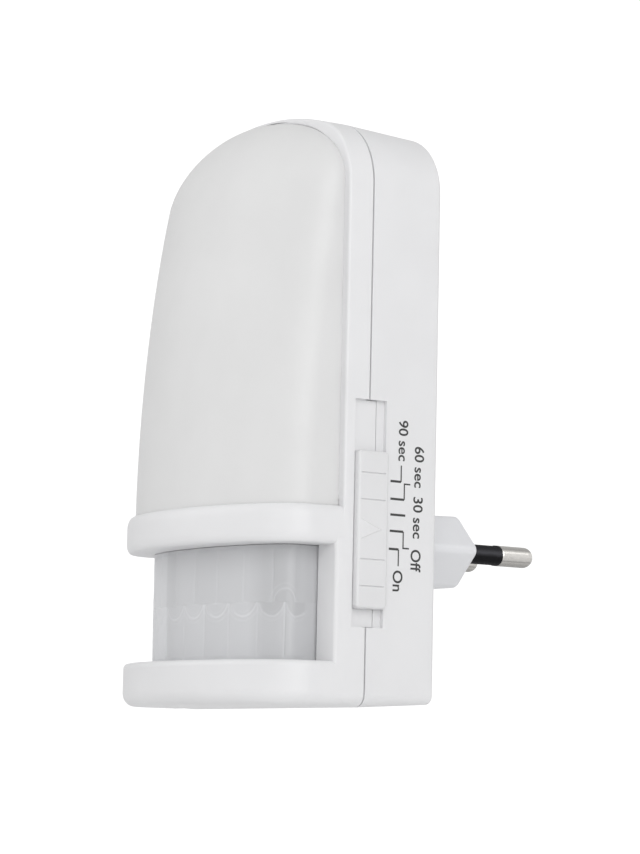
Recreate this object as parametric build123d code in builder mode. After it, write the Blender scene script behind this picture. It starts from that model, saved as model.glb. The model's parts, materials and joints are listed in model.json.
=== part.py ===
"""Plug-in night light with a motion sensor, drawn in its wall socket position.

The origin lies between the two plug pins, in the plug face that meets the socket.
+Y runs along the pins into the wall, +Z is up and -Y faces the room. Millimetres.
Heights are counted from the bottom of the case, and level() turns them into Z.
"""

import os
from math import atan2, degrees, radians, sqrt, tan

from build123d import *

os.makedirs("parts", exist_ok=True)

# ---------------------------------------------------------------- driving dimensions

# Case: an arched back box and a front shell that meet at an upright seam.
case_half_width = 30.0
case_height = 110.0
pin_axis_height = 30.6
seam_y = -34.4
seam_gap = 0.3
back_y = -18.5
rim_y = -39.5
rear_draft = 3.4
front_draft = 2.3
arch_rise = 15.5
arch_corner = 13.0
foot_corner = 2.5
case_wall = 1.25
back_wall = 1.6
back_edge_fillet = 0.9
rim_fillet = 0.5

# Lap joint behind the seam.
lap_depth = 1.6
lap_outer = 0.8
lap_inner = 1.6
lap_clearance = 0.1

# Two bowed collars above and below the sensor window.
bow_start_y = -45.0
bow_depth = 13.0
low_collar_top = 8.0
mid_collar_bottom = 28.8
mid_collar_top = 35.7
collar_wall = 1.5
collar_fillet = 1.2
low_collar_fillet = 0.9
pillar_y = -40.8
shelf_height = 34.2

# Light diffuser: a dome that grows out of the arched rim.
dome_half_width = 28.0
dome_top = 109.14
dome_wall = 1.7
dome_depth = 16.85
dome_flank = 5.37
dome_flank_power = 4
dome_start = 33.62
dome_exponent = 2.06
dome_root = 2.2
dome_spring = 95.33
rim_clearance = 0.25
lip_y = -38.3
skirt_back_y = -36.7

# Sensor lens in the window between the collars.
lens_half_width = 23.6
lens_bow = 6.85
lens_wall = 0.7
lens_clearance = 0.1
window_half_width = 23.9
lens_flange = 1.8

# Plug: flat two-pin plug body with sleeved pins.
plug_half_width = 17.65
plug_half_height = 6.85
plug_flare = 0.5
plug_corner = 2.2
plug_nose = 1.2
plug_face_fillet = 0.6
flange_width = 43.0
flange_height = 20.0
flange_corner = 3.0
flange_front_y = -22.7
flange_hole_x = 18.2
flange_hole_z = 6.5
flange_hole_radius = 1.1
pin_spacing_face = 18.6
pin_spacing_tip = 17.5
pin_length = 19.0
pin_radius = 2.0
pin_core_radius = 1.6
sleeve_length = 10.8
pin_tail = 23.8
tail_radius = 1.3
anchor_radius = 2.5
anchor_depth = 13.0
anchor_length = 3.0
contact_x = 9.95
contact_width = 4.0
contact_strip = 0.35

# Slide switch on the right side: one step down to ON and three steps up from OFF.
step = 3.05
steps_up = 3
knob_height = 31.65
knob_length = 28.3
knob_front_y = -37.3
knob_back_y = -30.72
knob_face_x = 31.2
knob_base_x = 29.05
channel_front_y = -37.45
channel_back_y = -30.56
channel_bottom = 14.2
channel_top = 55.15
channel_floor_x = 28.9
channel_back_x = 27.5
channel_end_wall = 1.2
channel_block_x = 29.3
knob_corner = 0.7
knob_edge = 0.45
pointer_half = 1.65
pointer_lift = 0.15
tongue_y = -32.35
stem_y = -34.1
stem_width = 1.4
stem_length = 3.0
stem_tip_x = 25.5
slide_clearance = 0.15
groove_width = 0.36
groove_depth = 0.22

# Boards, posts and screws inside.
board_front_y = -27.0
board_thickness = 1.6
case_screw_x = 22.5
case_screw_height = 5.9
case_screw_head_y = -27.4
screw_shank = 1.15
board_post_x = 19.0
board_post_height = 66.0
board_post_radius = 2.6
led_board_front_y = -39.4

overlap = 0.5
case_bottom = -pin_axis_height


# ---------------------------------------------------------------- helpers

def level(height):
    """Z of a height above the bottom of the case."""
    return case_bottom + height


def front_plane(y):
    """Drawing plane at depth y: X to the right, Z up, extrusion towards the room."""
    return Plane.XZ.offset(-y)


def floor_plane(height):
    """Horizontal drawing plane at a height above the bottom of the case."""
    return Plane.XY.offset(level(height))


def draft_inset(y):
    """How far mould draft pulls the case wall in at depth y."""
    if y > seam_y:
        return tan(radians(rear_draft)) * (y - seam_y)
    return tan(radians(front_draft)) * (seam_y - y)


def crown_radius(half_width, rise, corner):
    """Radius of the shallow crown arc that runs tangent into both corner arcs."""
    reach = half_width - corner
    return (reach**2 + rise**2 - corner**2) / (2 * (rise - corner))


def case_outline(inset):
    """Arched outline of the case: flat foot, straight sides, corner arcs, crown arc."""
    spring = level(case_height - arch_rise)
    corner_x = case_half_width - arch_corner
    crown = crown_radius(case_half_width, arch_rise, arch_corner)
    crown_z = level(case_height) - crown
    lean = degrees(atan2(spring - crown_z, corner_x))
    half = case_half_width - inset
    low = case_bottom + inset
    foot_x = case_half_width - foot_corner
    foot_z = case_bottom + foot_corner
    with BuildSketch() as outline:
        with BuildLine():
            Line((-foot_x, low), (foot_x, low))
            CenterArc((foot_x, foot_z), foot_corner - inset, -90, 90)
            Line((half, foot_z), (half, spring))
            CenterArc((corner_x, spring), arch_corner - inset, 0, lean)
            CenterArc((0, crown_z), crown - inset, lean, 180 - 2 * lean)
            CenterArc((-corner_x, spring), arch_corner - inset, 180 - lean, lean)
            Line((-half, spring), (-half, foot_z))
            CenterArc((-foot_x, foot_z), foot_corner - inset, 180, 90)
        make_face()
    return outline.sketch


def arch_outline(half, low, top):
    """Arched outline with a square foot, shaped like the case's arch."""
    spring = level(case_height - arch_rise)
    rise = top - spring
    corner = rise * arch_corner / arch_rise
    crown = crown_radius(half, rise, corner)
    lean = degrees(atan2(crown - rise, half - corner))
    with BuildSketch() as outline:
        with BuildLine():
            Polyline((-half, spring), (-half, low), (half, low), (half, spring))
            CenterArc((half - corner, spring), corner, 0, lean)
            CenterArc((0, top - crown), crown, lean, 180 - 2 * lean)
            CenterArc((corner - half, spring), corner, 180 - lean, lean)
        make_face()
    return outline.sketch


def dome_arch(gap):
    """Arched outline where the dome leaves the rim, widened by gap all round."""
    spring = level(dome_spring)
    half = dome_half_width + gap
    rise = level(dome_top) + gap - spring
    with BuildSketch() as outline:
        with BuildLine():
            Polyline((-half, spring), (-half, level(shelf_height)),
                     (half, level(shelf_height)), (half, spring))
            EllipticalCenterArc((0, spring), half, rise, 0, arc_size=180)
        make_face()
    return outline.sketch


def bow_outline(half, rear_y, start_y, depth):
    """Plan of a bowed front: straight flanks that run into half an ellipse."""
    with BuildSketch() as outline:
        with BuildLine():
            Polyline((-half, start_y), (-half, rear_y), (half, rear_y), (half, start_y))
            EllipticalCenterArc((0, start_y), half, depth, 180, arc_size=180)
        make_face()
    return outline.sketch


def collar_outline(inset, rear_y):
    """Plan of a collar, inset all round its bowed front."""
    half = case_half_width - draft_inset(bow_start_y) - inset
    return bow_outline(half, rear_y, bow_start_y, bow_depth - inset)


def dome_section(height, inset, rear_y):
    """Plan of the diffuser's dome at one height, pulled in by inset."""
    rise = max(height - dome_start, 0) / (dome_top - dome_start)
    share = max(1 - rise**dome_exponent, 0) ** (1 / dome_root)
    flank = dome_flank * share**dome_flank_power
    lift = max(height - dome_spring, 0) / (dome_top - dome_spring)
    half = dome_half_width * sqrt(1 - lift**2)
    bow = dome_depth * share - flank
    return bow_outline(half - inset, rear_y, rim_y - flank, bow - inset)


def box_between(low, high, mode=Mode.ADD):
    """A box given by its lowest and highest corners."""
    middle = tuple((a + b) / 2 for a, b in zip(low, high))
    with Locations(middle):
        Box(*(b - a for a, b in zip(low, high)), mode=mode)


def peg(x, height, front_y, rear_y, radius, mode=Mode.ADD):
    """A round post or hole that runs front to back at a height above the bottom."""
    with Locations((x, (front_y + rear_y) / 2, level(height))):
        Cylinder(radius, rear_y - front_y, rotation=(90, 0, 0), mode=mode)


seam_front_y = seam_y - seam_gap / 2
seam_rear_y = seam_y + seam_gap / 2
inner_back_y = back_y - back_wall
board_rear_y = board_front_y + board_thickness
channel_low = level(channel_bottom)
channel_high = level(channel_top)
knob_z = level(knob_height)

# ---------------------------------------------------------------- plug

plug_root_y = inner_back_y
plug_shoulder = plug_half_width - plug_half_height


def plug_outline(shrink):
    """Flat hexagon of the plug body with rounded corners, shrunk all round."""
    wide = plug_half_width - shrink
    tall = plug_half_height - shrink
    with BuildSketch() as outline:
        with BuildLine():
            Polyline(
                (wide, 0),
                (plug_shoulder, tall),
                (-plug_shoulder, tall),
                (-wide, 0),
                (-plug_shoulder, -tall),
                (plug_shoulder, -tall),
                close=True,
            )
        make_face()
        fillet(outline.vertices().filter_by_position(Axis.X, -wide + 0.1, wide - 0.1),
               plug_corner)
        fillet(outline.vertices().group_by(Axis.X)[0], plug_nose)
        fillet(outline.vertices().group_by(Axis.X)[-1], plug_nose)
    return outline.sketch


def pin_plane(side):
    """Plane across a pin where it leaves the plug face; the pins lean together."""
    lean = (pin_spacing_tip - pin_spacing_face) / 2
    base = (side * pin_spacing_face / 2, 0, 0)
    return Plane(origin=base, x_dir=(1, 0, 0), z_dir=(side * lean, pin_length, 0))


def make_pin(side):
    """Solid metal pin: sleeved core, bare tip with a round end, anchor and tail."""
    with BuildPart(pin_plane(side)) as pin:
        for low, high, radius in (
            (-pin_tail, 0, tail_radius),
            (-anchor_depth - anchor_length, -anchor_depth, anchor_radius),
            (-anchor_depth, sleeve_length, pin_core_radius),
            (sleeve_length, pin_length - pin_radius, pin_radius),
        ):
            with Locations((0, 0, (low + high) / 2)):
                Cylinder(radius, high - low)
        with Locations((0, 0, pin_length - pin_radius)):
            Sphere(pin_radius)
    return pin


def make_sleeve(side):
    """Insulating sleeve on the root of a pin, flush with the bare tip."""
    with BuildPart(pin_plane(side)) as sleeve:
        with Locations((0, 0, sleeve_length / 2)):
            Cylinder(pin_radius, sleeve_length)
            Cylinder(pin_core_radius, sleeve_length, mode=Mode.SUBTRACT)
    return sleeve


pin_left = make_pin(-1)
pin_right = make_pin(1)
sleeve_left = make_sleeve(-1)
sleeve_right = make_sleeve(1)

with BuildPart() as plug_body:
    with BuildSketch(front_plane(plug_root_y)):
        add(plug_outline(plug_flare))
    with BuildSketch(front_plane(0)):
        add(plug_outline(0))
    loft(ruled=True)
    fillet(plug_body.faces().sort_by(Axis.Y)[-1].edges(), plug_face_fillet)
    with BuildSketch(front_plane(plug_root_y)):
        RectangleRounded(flange_width, flange_height, flange_corner)
    extrude(amount=plug_root_y - flange_front_y)
    for side in (-1, 1):
        hole_y = (plug_root_y + flange_front_y) / 2
        with Locations((side * flange_hole_x, hole_y, flange_hole_z)):
            Cylinder(flange_hole_radius, 4, rotation=(90, 0, 0), mode=Mode.SUBTRACT)
    for piece in (pin_left, pin_right, sleeve_left, sleeve_right):
        add(piece.part, mode=Mode.SUBTRACT)


def make_contact(side):
    """Leaf spring from the back of the board to the tail of a pin."""
    tail_y = -pin_tail - 0.05
    with BuildPart() as contact:
        with BuildSketch(Plane.YZ.offset(side * contact_x - contact_width / 2)):
            with BuildLine():
                Polyline(
                    (board_rear_y, 13.0),
                    (board_rear_y, 8.0),
                    (tail_y - contact_strip, 2.5),
                    (tail_y - contact_strip, -2.5),
                    (tail_y, -2.5),
                    (tail_y, 2.7),
                    (board_rear_y + contact_strip, 8.2),
                    (board_rear_y + contact_strip, 13.0),
                    close=True,
                )
            make_face()
        extrude(amount=contact_width)
    return contact


contact_left = make_contact(-1)
contact_right = make_contact(1)

# ---------------------------------------------------------------- rear case

boss_radius = 3.3
counterbore_radius = 2.35
counterbore_y = -29.0

with BuildPart() as rear_case:
    with BuildSketch(front_plane(seam_rear_y)):
        add(case_outline(0))
    with BuildSketch(front_plane(back_y)):
        add(case_outline(draft_inset(back_y)))
    loft(ruled=True)
    fillet(rear_case.faces().sort_by(Axis.Y)[-1].edges(), back_edge_fillet)
    with BuildSketch(front_plane(seam_rear_y - overlap)):
        add(case_outline(case_wall))
    with BuildSketch(front_plane(inner_back_y)):
        add(case_outline(case_wall + draft_inset(inner_back_y)))
    loft(ruled=True, mode=Mode.SUBTRACT)
    # lap ring that enters the front shell
    with BuildSketch(front_plane(seam_rear_y + 2)):
        add(case_outline(lap_outer))
        add(case_outline(lap_inner), mode=Mode.SUBTRACT)
    extrude(amount=2 + lap_depth)
    # backing behind the switch channel, then the channel and the notch for the tongue
    box_between(
        (channel_back_x, tongue_y + 0.1, channel_low - channel_end_wall),
        (channel_block_x, channel_back_y + channel_end_wall, channel_high + channel_end_wall),
    )
    box_between(
        (channel_floor_x, channel_front_y, channel_low),
        (case_half_width + 1, channel_back_y, channel_high),
        mode=Mode.SUBTRACT,
    )
    box_between(
        (channel_back_x - 1, channel_front_y, channel_low),
        (case_half_width + 1, tongue_y + 0.05, channel_high),
        mode=Mode.SUBTRACT,
    )
    box_between(
        (channel_back_x - 1, channel_front_y, channel_low - channel_end_wall - 0.15),
        (channel_block_x, seam_rear_y, channel_high + channel_end_wall + 0.15),
        mode=Mode.SUBTRACT,
    )
    # opening for the plug body
    with BuildSketch(front_plane(back_y + 1)):
        add(plug_outline(plug_flare - 0.05))
    extrude(amount=back_wall + 2, mode=Mode.SUBTRACT)
    # screw bosses and board posts
    for side in (-1, 1):
        peg(side * case_screw_x, case_screw_height, seam_front_y, inner_back_y + overlap, boss_radius)
        peg(side * board_post_x, board_post_height, board_rear_y, inner_back_y + overlap,
            board_post_radius)
        peg(side * case_screw_x, case_screw_height, counterbore_y, back_y + 1,
            counterbore_radius, mode=Mode.SUBTRACT)
        peg(side * case_screw_x, case_screw_height, seam_front_y - 1, back_y,
            screw_shank + 0.15, mode=Mode.SUBTRACT)
        peg(side * board_post_x, board_post_height, board_rear_y - 1, board_rear_y + 4,
            screw_shank, mode=Mode.SUBTRACT)

# ---------------------------------------------------------------- front case

post_radius = 2.2
post_front_y = -45.5
pilot_front_y = -43.0
foot_lift = 0.2
inner_shelf = 4.2
slot_low = knob_z - step - stem_length / 2 - slide_clearance
slot_high = knob_z + steps_up * step + stem_length / 2 + slide_clearance

with BuildPart() as low_collar:
    with BuildSketch(floor_plane(foot_lift)):
        add(collar_outline(0, lip_y))
    extrude(amount=low_collar_top - foot_lift)
    rounded = low_collar.edges().filter_by_position(Axis.Y, -60, lip_y - 0.1)
    fillet(rounded.group_by(Axis.Z)[0], foot_corner - foot_lift)
    rounded = low_collar.edges().filter_by_position(Axis.Y, -60, lip_y - 0.1)
    fillet(rounded.group_by(Axis.Z)[-1], low_collar_fillet)

with BuildPart() as mid_collar:
    with BuildSketch(floor_plane(mid_collar_bottom)):
        add(collar_outline(0, lip_y))
    extrude(amount=mid_collar_top - mid_collar_bottom)
    rounded = mid_collar.edges().filter_by_position(Axis.Y, -60, lip_y - 0.1)
    fillet(rounded.group_by(Axis.Z)[0] + rounded.group_by(Axis.Z)[-1], collar_fillet)

with BuildPart() as front_case:
    with BuildSketch(front_plane(seam_front_y)):
        add(case_outline(draft_inset(seam_front_y)))
    with BuildSketch(front_plane(rim_y)):
        add(case_outline(draft_inset(rim_y)))
    loft(ruled=True)
    fillet(front_case.faces().sort_by(Axis.Y)[0].edges(), rim_fillet)
    pillar_x = case_half_width - draft_inset(pillar_y)
    box_between(
        (-pillar_x, pillar_y, level(low_collar_top - 1)),
        (pillar_x, lip_y, level(mid_collar_bottom + 1)),
    )
    add(low_collar.part)
    add(mid_collar.part)
    # hollow behind the rim, with a thinner wall where the rear lap ring enters
    with BuildSketch(front_plane(seam_front_y + overlap)):
        add(case_outline(case_wall))
    extrude(amount=seam_front_y + overlap - lip_y, mode=Mode.SUBTRACT)
    with BuildSketch(front_plane(seam_front_y + overlap)):
        add(case_outline(lap_outer - lap_clearance))
    extrude(amount=overlap + lap_depth + 0.1, mode=Mode.SUBTRACT)
    # arched opening for the dome and its seat inside the middle collar
    with BuildSketch(front_plane(lip_y + overlap)):
        add(dome_arch(rim_clearance))
    extrude(amount=lip_y + overlap - rim_y + overlap, mode=Mode.SUBTRACT)
    with BuildSketch(floor_plane(shelf_height)):
        add(collar_outline(case_half_width - draft_inset(bow_start_y)
                           - dome_half_width - rim_clearance, lip_y + overlap))
    extrude(amount=3, mode=Mode.SUBTRACT)
    with BuildSketch(floor_plane(mid_collar_bottom + collar_wall)):
        add(collar_outline(inner_shelf, lip_y + overlap))
    extrude(amount=5, mode=Mode.SUBTRACT)
    # hollow of the lower collar
    with BuildSketch(floor_plane(collar_wall)):
        add(collar_outline(1.7, lip_y + overlap))
    extrude(amount=low_collar_top - 2 * collar_wall, mode=Mode.SUBTRACT)
    # sensor window through the pillar wall
    box_between(
        (-window_half_width, pillar_y - 1, level(low_collar_top)),
        (window_half_width, lip_y + 1, level(mid_collar_bottom)),
        mode=Mode.SUBTRACT,
    )
    # screw posts below the lens
    for side in (-1, 1):
        peg(side * case_screw_x, case_screw_height, post_front_y, seam_front_y, post_radius)
        peg(side * case_screw_x, case_screw_height, pilot_front_y, seam_y + 1, screw_shank,
            mode=Mode.SUBTRACT)
    # tongue behind the knob, the channel floor and the slot for the knob's stem
    box_between(
        (channel_back_x, lip_y + 0.1, channel_low - channel_end_wall),
        (channel_block_x, seam_front_y, channel_high + channel_end_wall),
    )
    box_between(
        (channel_back_x, channel_front_y, channel_low + 0.1),
        (channel_block_x, tongue_y, channel_high - 0.1),
    )
    box_between(
        (channel_floor_x, channel_front_y, channel_low),
        (case_half_width + 2, channel_back_y, channel_high),
        mode=Mode.SUBTRACT,
    )
    box_between(
        (channel_back_x - 1, stem_y - stem_width / 2 - slide_clearance, slot_low),
        (case_half_width, stem_y + stem_width / 2 + slide_clearance, slot_high),
        mode=Mode.SUBTRACT,
    )

# ---------------------------------------------------------------- diffuser

dome_back_y = lip_y + 0.4
dome_heights = (34.3, 38, 42, 46, 51, 56, 61, 66, 71, 76, 81, 86, 90.5, 93.5, 96, 98, 100, 102, 103.8,
                105.6, 107, 108, 108.65, 109)
hollow_heights = (33.5, 38, 42, 46, 51, 56, 61, 66, 71, 76, 81, 86, 90.5, 94, 97, 99.5, 101.8,
                  103.8, 105.4, 106.5)

with BuildPart() as dome_hollow:
    for height in hollow_heights:
        with BuildSketch(floor_plane(height)):
            add(dome_section(height, dome_wall, lip_y + 3))
    loft()

with BuildPart() as diffuser:
    for height in dome_heights:
        with BuildSketch(floor_plane(height)):
            add(dome_section(height, 0, dome_back_y))
    loft()
    # skirt that hooks behind the rim
    with BuildSketch(front_plane(skirt_back_y)):
        add(arch_outline(
            case_half_width - case_wall - 0.15,
            level(shelf_height + 0.1),
            level(case_height - case_wall - 0.35),
        ))
    extrude(amount=skirt_back_y - lip_y - 0.05)
    add(dome_hollow.part, mode=Mode.SUBTRACT)
    # notch that clears the back of the switch channel
    box_between(
        (channel_back_x - 0.2, lip_y - 0.05, level(shelf_height - 1)),
        (case_half_width, skirt_back_y + 1, channel_high + channel_end_wall + 0.3),
        mode=Mode.SUBTRACT,
    )

# ---------------------------------------------------------------- sensor lens and its frame

lens_low = low_collar_top + lens_clearance
lens_high = mid_collar_bottom - lens_clearance
lens_back_y = lip_y + 0.05
lens_frame_depth = 1.4
lens_frame_opening = 42.0

with BuildPart() as pir_lens:
    with BuildSketch(floor_plane(lens_low)):
        add(bow_outline(lens_half_width, lens_back_y + 0.5, bow_start_y, lens_bow))
        add(
            bow_outline(lens_half_width - lens_wall, lens_back_y + 1, bow_start_y,
                        lens_bow - lens_wall),
            mode=Mode.SUBTRACT,
        )
    extrude(amount=lens_high - lens_low)
    # flange behind the window edge
    for side in (-1, 1):
        near = side * (lens_half_width - lens_wall)
        far = side * (window_half_width + lens_flange)
        box_between(
            (min(near, far), lens_back_y, level(lens_low + 0.3)),
            (max(near, far), lens_back_y + 0.8, level(lens_high - 0.3)),
        )

with BuildPart() as lens_frame:
    with BuildSketch(front_plane(lens_back_y + 0.85 + lens_frame_depth)):
        with Locations((0, level((lens_low + lens_high) / 2))):
            Rectangle(2 * (window_half_width + lens_flange), lens_high - lens_low - 1)
            RectangleRounded(lens_frame_opening, lens_high - lens_low - 5, 2, mode=Mode.SUBTRACT)
    extrude(amount=lens_frame_depth)

# ---------------------------------------------------------------- slide switch

switch_front_y = -36.0
switch_wall = 0.6
carrier_length = 6.0
carrier_front_y = switch_front_y + switch_wall + slide_clearance
carrier_back_y = -30.6
fork_front_y = -35.0
fork_back_y = -33.2
fork_half = 2.4
switch_low_x = 18.0
switch_high_x = 24.6
fork_tip_x = 27.3
wiper_x = 20.2
wiper_width = 2.4
contact_pad_x = wiper_x + wiper_width / 2
contact_pad_radius = 0.8
contact_pin_radius = 0.4
travel_low = knob_z - step
travel_high = knob_z + steps_up * step

with BuildPart() as switch_knob:
    box_between(
        (knob_base_x, knob_front_y, knob_z - knob_length / 2),
        (knob_face_x, knob_back_y, knob_z + knob_length / 2),
    )
    upright = switch_knob.edges().filter_by(Axis.X)
    fillet(upright, knob_corner)
    fillet(switch_knob.faces().sort_by(Axis.X)[-1].edges(), knob_edge)
    # grip lines across the face and the raised pointer that aims at the scale
    for line in (-10.15, -5.35, 5.35, 10.15):
        box_between(
            (knob_face_x - groove_depth, knob_front_y + 0.9, knob_z + line - groove_width / 2),
            (knob_face_x + 1, knob_back_y - 0.6, knob_z + line + groove_width / 2),
            mode=Mode.SUBTRACT,
        )
    with BuildSketch(Plane.YZ.offset(knob_face_x - overlap)):
        with BuildLine():
            Polyline(
                (knob_front_y + 0.9, knob_z - pointer_half),
                (knob_back_y - 1.0, knob_z),
                (knob_front_y + 0.9, knob_z + pointer_half),
                close=True,
            )
        make_face()
    extrude(amount=overlap + pointer_lift)
    # stem through the slot of the channel floor
    box_between(
        (stem_tip_x, stem_y - stem_width / 2, knob_z - stem_length / 2),
        (knob_base_x + 0.3, stem_y + stem_width / 2, knob_z + stem_length / 2),
    )

with BuildPart() as switch_carrier:
    box_between(
        (switch_low_x + 1.0, carrier_front_y, knob_z - carrier_length / 2),
        (switch_high_x - 0.9, carrier_back_y, knob_z + carrier_length / 2),
    )
    box_between(
        (switch_high_x - 1.4, fork_front_y, knob_z - fork_half),
        (fork_tip_x, fork_back_y, knob_z + fork_half),
    )
    box_between(
        (stem_tip_x - 0.1, fork_front_y - 1, knob_z - stem_length / 2),
        (fork_tip_x + 1, fork_back_y + 1, knob_z + stem_length / 2),
        mode=Mode.SUBTRACT,
    )

with BuildPart() as switch_wiper:
    with BuildSketch(Plane.YZ.offset(wiper_x)):
        with BuildLine():
            Polyline(
                (carrier_back_y, knob_z - 2.6),
                (carrier_back_y, knob_z + 2.6),
                (carrier_back_y + 0.3, knob_z + 2.6),
                (carrier_back_y + 1.9, knob_z + 0.8),
                (carrier_back_y + 1.9, knob_z - 0.8),
                (carrier_back_y + 0.3, knob_z - 2.6),
                close=True,
            )
        make_face()
        with BuildLine():
            Polyline(
                (carrier_back_y + 0.3, knob_z - 1.9),
                (carrier_back_y + 0.3, knob_z + 1.9),
                (carrier_back_y + 1.6, knob_z + 0.6),
                (carrier_back_y + 1.6, knob_z - 0.6),
                close=True,
            )
        make_face(mode=Mode.SUBTRACT)
    extrude(amount=wiper_width)

with BuildPart() as detent_leaf:
    leaf_x = switch_low_x + switch_wall
    with BuildSketch(floor_plane(knob_height - 1)):
        with BuildLine():
            Polyline(
                (leaf_x + 0.4, carrier_front_y + 0.3),
                (leaf_x + 0.4, carrier_back_y - 0.3),
                (leaf_x + 0.25, carrier_back_y - 0.3),
                (leaf_x + 0.1, (carrier_front_y + carrier_back_y) / 2),
                (leaf_x + 0.25, carrier_front_y + 0.3),
                close=True,
            )
        make_face()
    extrude(amount=2)

with BuildPart() as switch_frame:
    frame_low = travel_low - carrier_length / 2 - 0.2
    frame_high = travel_high + carrier_length / 2 + 0.2
    box_between(
        (switch_low_x, switch_front_y, frame_low - switch_wall),
        (switch_high_x, board_front_y, frame_high + switch_wall),
    )
    box_between(
        (switch_low_x + switch_wall, switch_front_y + switch_wall, frame_low),
        (switch_high_x - switch_wall, board_front_y - 1.2, frame_high),
        mode=Mode.SUBTRACT,
    )
    box_between(
        (switch_high_x - 1, fork_front_y - 0.2, travel_low - fork_half - 0.2),
        (switch_high_x + 1, fork_back_y + 0.2, travel_high + fork_half + 0.2),
        mode=Mode.SUBTRACT,
    )
    for stop in range(-1, steps_up + 1):
        peg_z = knob_height + stop * step
        peg(contact_pad_x, peg_z, board_front_y - 1.5, board_front_y + 1, contact_pad_radius,
            mode=Mode.SUBTRACT)

with BuildPart() as switch_contacts:
    for stop in range(-1, steps_up + 1):
        peg_z = knob_height + stop * step
        peg(contact_pad_x, peg_z, board_front_y - 1.35, board_front_y, contact_pad_radius)
        peg(contact_pad_x, peg_z, board_front_y - 1, board_rear_y + 0.6, contact_pin_radius)

# ---------------------------------------------------------------- main board

board_low = 12.0
board_high = 100.0
board_half = 25.0
board_chamfer = 8.0

with BuildPart() as main_board:
    box_between(
        (-board_half, board_front_y, level(board_low)),
        (board_half, board_rear_y, level(board_high)),
    )
    corners = main_board.edges().filter_by(Axis.Y)
    chamfer(corners.group_by(Axis.Z)[-1], board_chamfer)
    for side in (-1, 1):
        peg(side * board_post_x, board_post_height, board_front_y - 1, board_rear_y + 1,
            screw_shank + 0.2, mode=Mode.SUBTRACT)
    for stop in range(-1, steps_up + 1):
        peg(contact_pad_x, knob_height + stop * step, board_front_y - 1, board_rear_y + 1,
            contact_pin_radius + 0.02, mode=Mode.SUBTRACT)

with BuildPart() as board_screws:
    for side in (-1, 1):
        peg(side * board_post_x, board_post_height, board_front_y - 1.5, board_front_y, 2.2)
        peg(side * board_post_x, board_post_height, board_front_y - 0.5, board_rear_y + 3.5,
            screw_shank - 0.05)
        box_between(
            (side * board_post_x - 1.4, board_front_y - 2, level(board_post_height) - 0.25),
            (side * board_post_x + 1.4, board_front_y - 0.8, level(board_post_height) + 0.25),
            mode=Mode.SUBTRACT,
        )

with BuildPart() as case_screws:
    for side in (-1, 1):
        peg(side * case_screw_x, case_screw_height, counterbore_y + 0.02,
            case_screw_head_y, counterbore_radius - 0.2)
        peg(side * case_screw_x, case_screw_height, -41.5, counterbore_y + 0.5,
            screw_shank - 0.05)
        for turn in (0, 90):
            with Locations(Location(
                (side * case_screw_x, case_screw_head_y, level(case_screw_height)),
                (0, turn, 0),
            )):
                Box(2.8, 1.6, 0.6, mode=Mode.SUBTRACT)

# ---------------------------------------------------------------- light source

reflector_floor_y = -38.0
reflector_front_y = -43.0
light_low = 44.0
light_high = 98.0
light_half = 20.0
led_y = led_board_front_y - 0.7
led_half_width = 1.75
led_half_height = 1.4
link_x = 2.54
link_height = 48.0
led_board_thickness = 1.2

with BuildPart() as reflector:
    with BuildSketch(front_plane(reflector_floor_y + 1.2)):
        with Locations((0, level((light_low + light_high) / 2))):
            RectangleRounded(2 * light_half + 4, light_high - light_low + 4, 4)
    extrude(amount=1.2)
    with BuildSketch(front_plane(reflector_floor_y)):
        with Locations((0, level((light_low + light_high) / 2))):
            RectangleRounded(2 * light_half + 4, light_high - light_low + 4, 4)
            RectangleRounded(2 * light_half + 1, light_high - light_low + 1, 3, mode=Mode.SUBTRACT)
    extrude(amount=reflector_floor_y - reflector_front_y, taper=-6)
    for side in (-1, 1):
        for height in (50, 92):
            peg(side * 15, height, reflector_floor_y + 0.5, board_front_y, 1.5)
    box_between((-6, reflector_floor_y - 1, level(46.5)), (6, reflector_floor_y + 2, level(49.5)),
                mode=Mode.SUBTRACT)

with BuildPart() as led_board:
    with BuildSketch(front_plane(led_board_front_y + led_board_thickness)):
        with Locations((0, level((light_low + light_high) / 2))):
            RectangleRounded(2 * light_half, light_high - light_low, 2.5)
        with Locations((-link_x, level(link_height)), (link_x, level(link_height))):
            Circle(0.4, mode=Mode.SUBTRACT)
    extrude(amount=led_board_thickness)

with BuildPart() as leds:
    for column in (-10, 10):
        for height in (54, 71, 88):
            box_between(
                (column - led_half_width, led_y, level(height) - led_half_height),
                (column + led_half_width, led_board_front_y, level(height) + led_half_height),
            )

with BuildPart() as link_pins:
    for column in (-link_x, link_x):
        box_between(
            (column - 0.25, led_board_front_y - 1, level(link_height) - 0.25),
            (column + 0.25, board_front_y - 0.02, level(link_height) + 0.25),
        )

with BuildPart() as light_baffle:
    with BuildSketch(floor_plane(mid_collar_bottom + collar_wall + 0.05)):
        add(bow_outline(16.5, board_front_y - 0.1, bow_start_y, 7))
    extrude(amount=1)

# ---------------------------------------------------------------- sensor side

sensor_height = 18.4
photocell_x = -14.0
lead_radius = 0.25
can_base_y = -31.5
can_front_y = -35.6

with BuildPart() as pir_sensor:
    peg(0, sensor_height, can_front_y, can_base_y, 4.1)
    fillet(pir_sensor.faces().sort_by(Axis.Y)[0].edges(), 0.4)
    peg(0, sensor_height, can_base_y - 0.5, can_base_y, 4.6)
    box_between((-2, can_front_y - 1, level(sensor_height) - 1.5),
                (2, can_front_y + 0.4, level(sensor_height) + 1.5), mode=Mode.SUBTRACT)

with BuildPart() as pir_filter:
    box_between((-2, can_front_y - 0.05, level(sensor_height) - 1.5),
                (2, can_front_y + 0.4, level(sensor_height) + 1.5))

with BuildPart() as sensor_spacer:
    peg(0, sensor_height, can_base_y, board_front_y, 4.4)
    peg(0, sensor_height, can_base_y - 1, board_front_y + 1, 3.2, mode=Mode.SUBTRACT)

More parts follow.
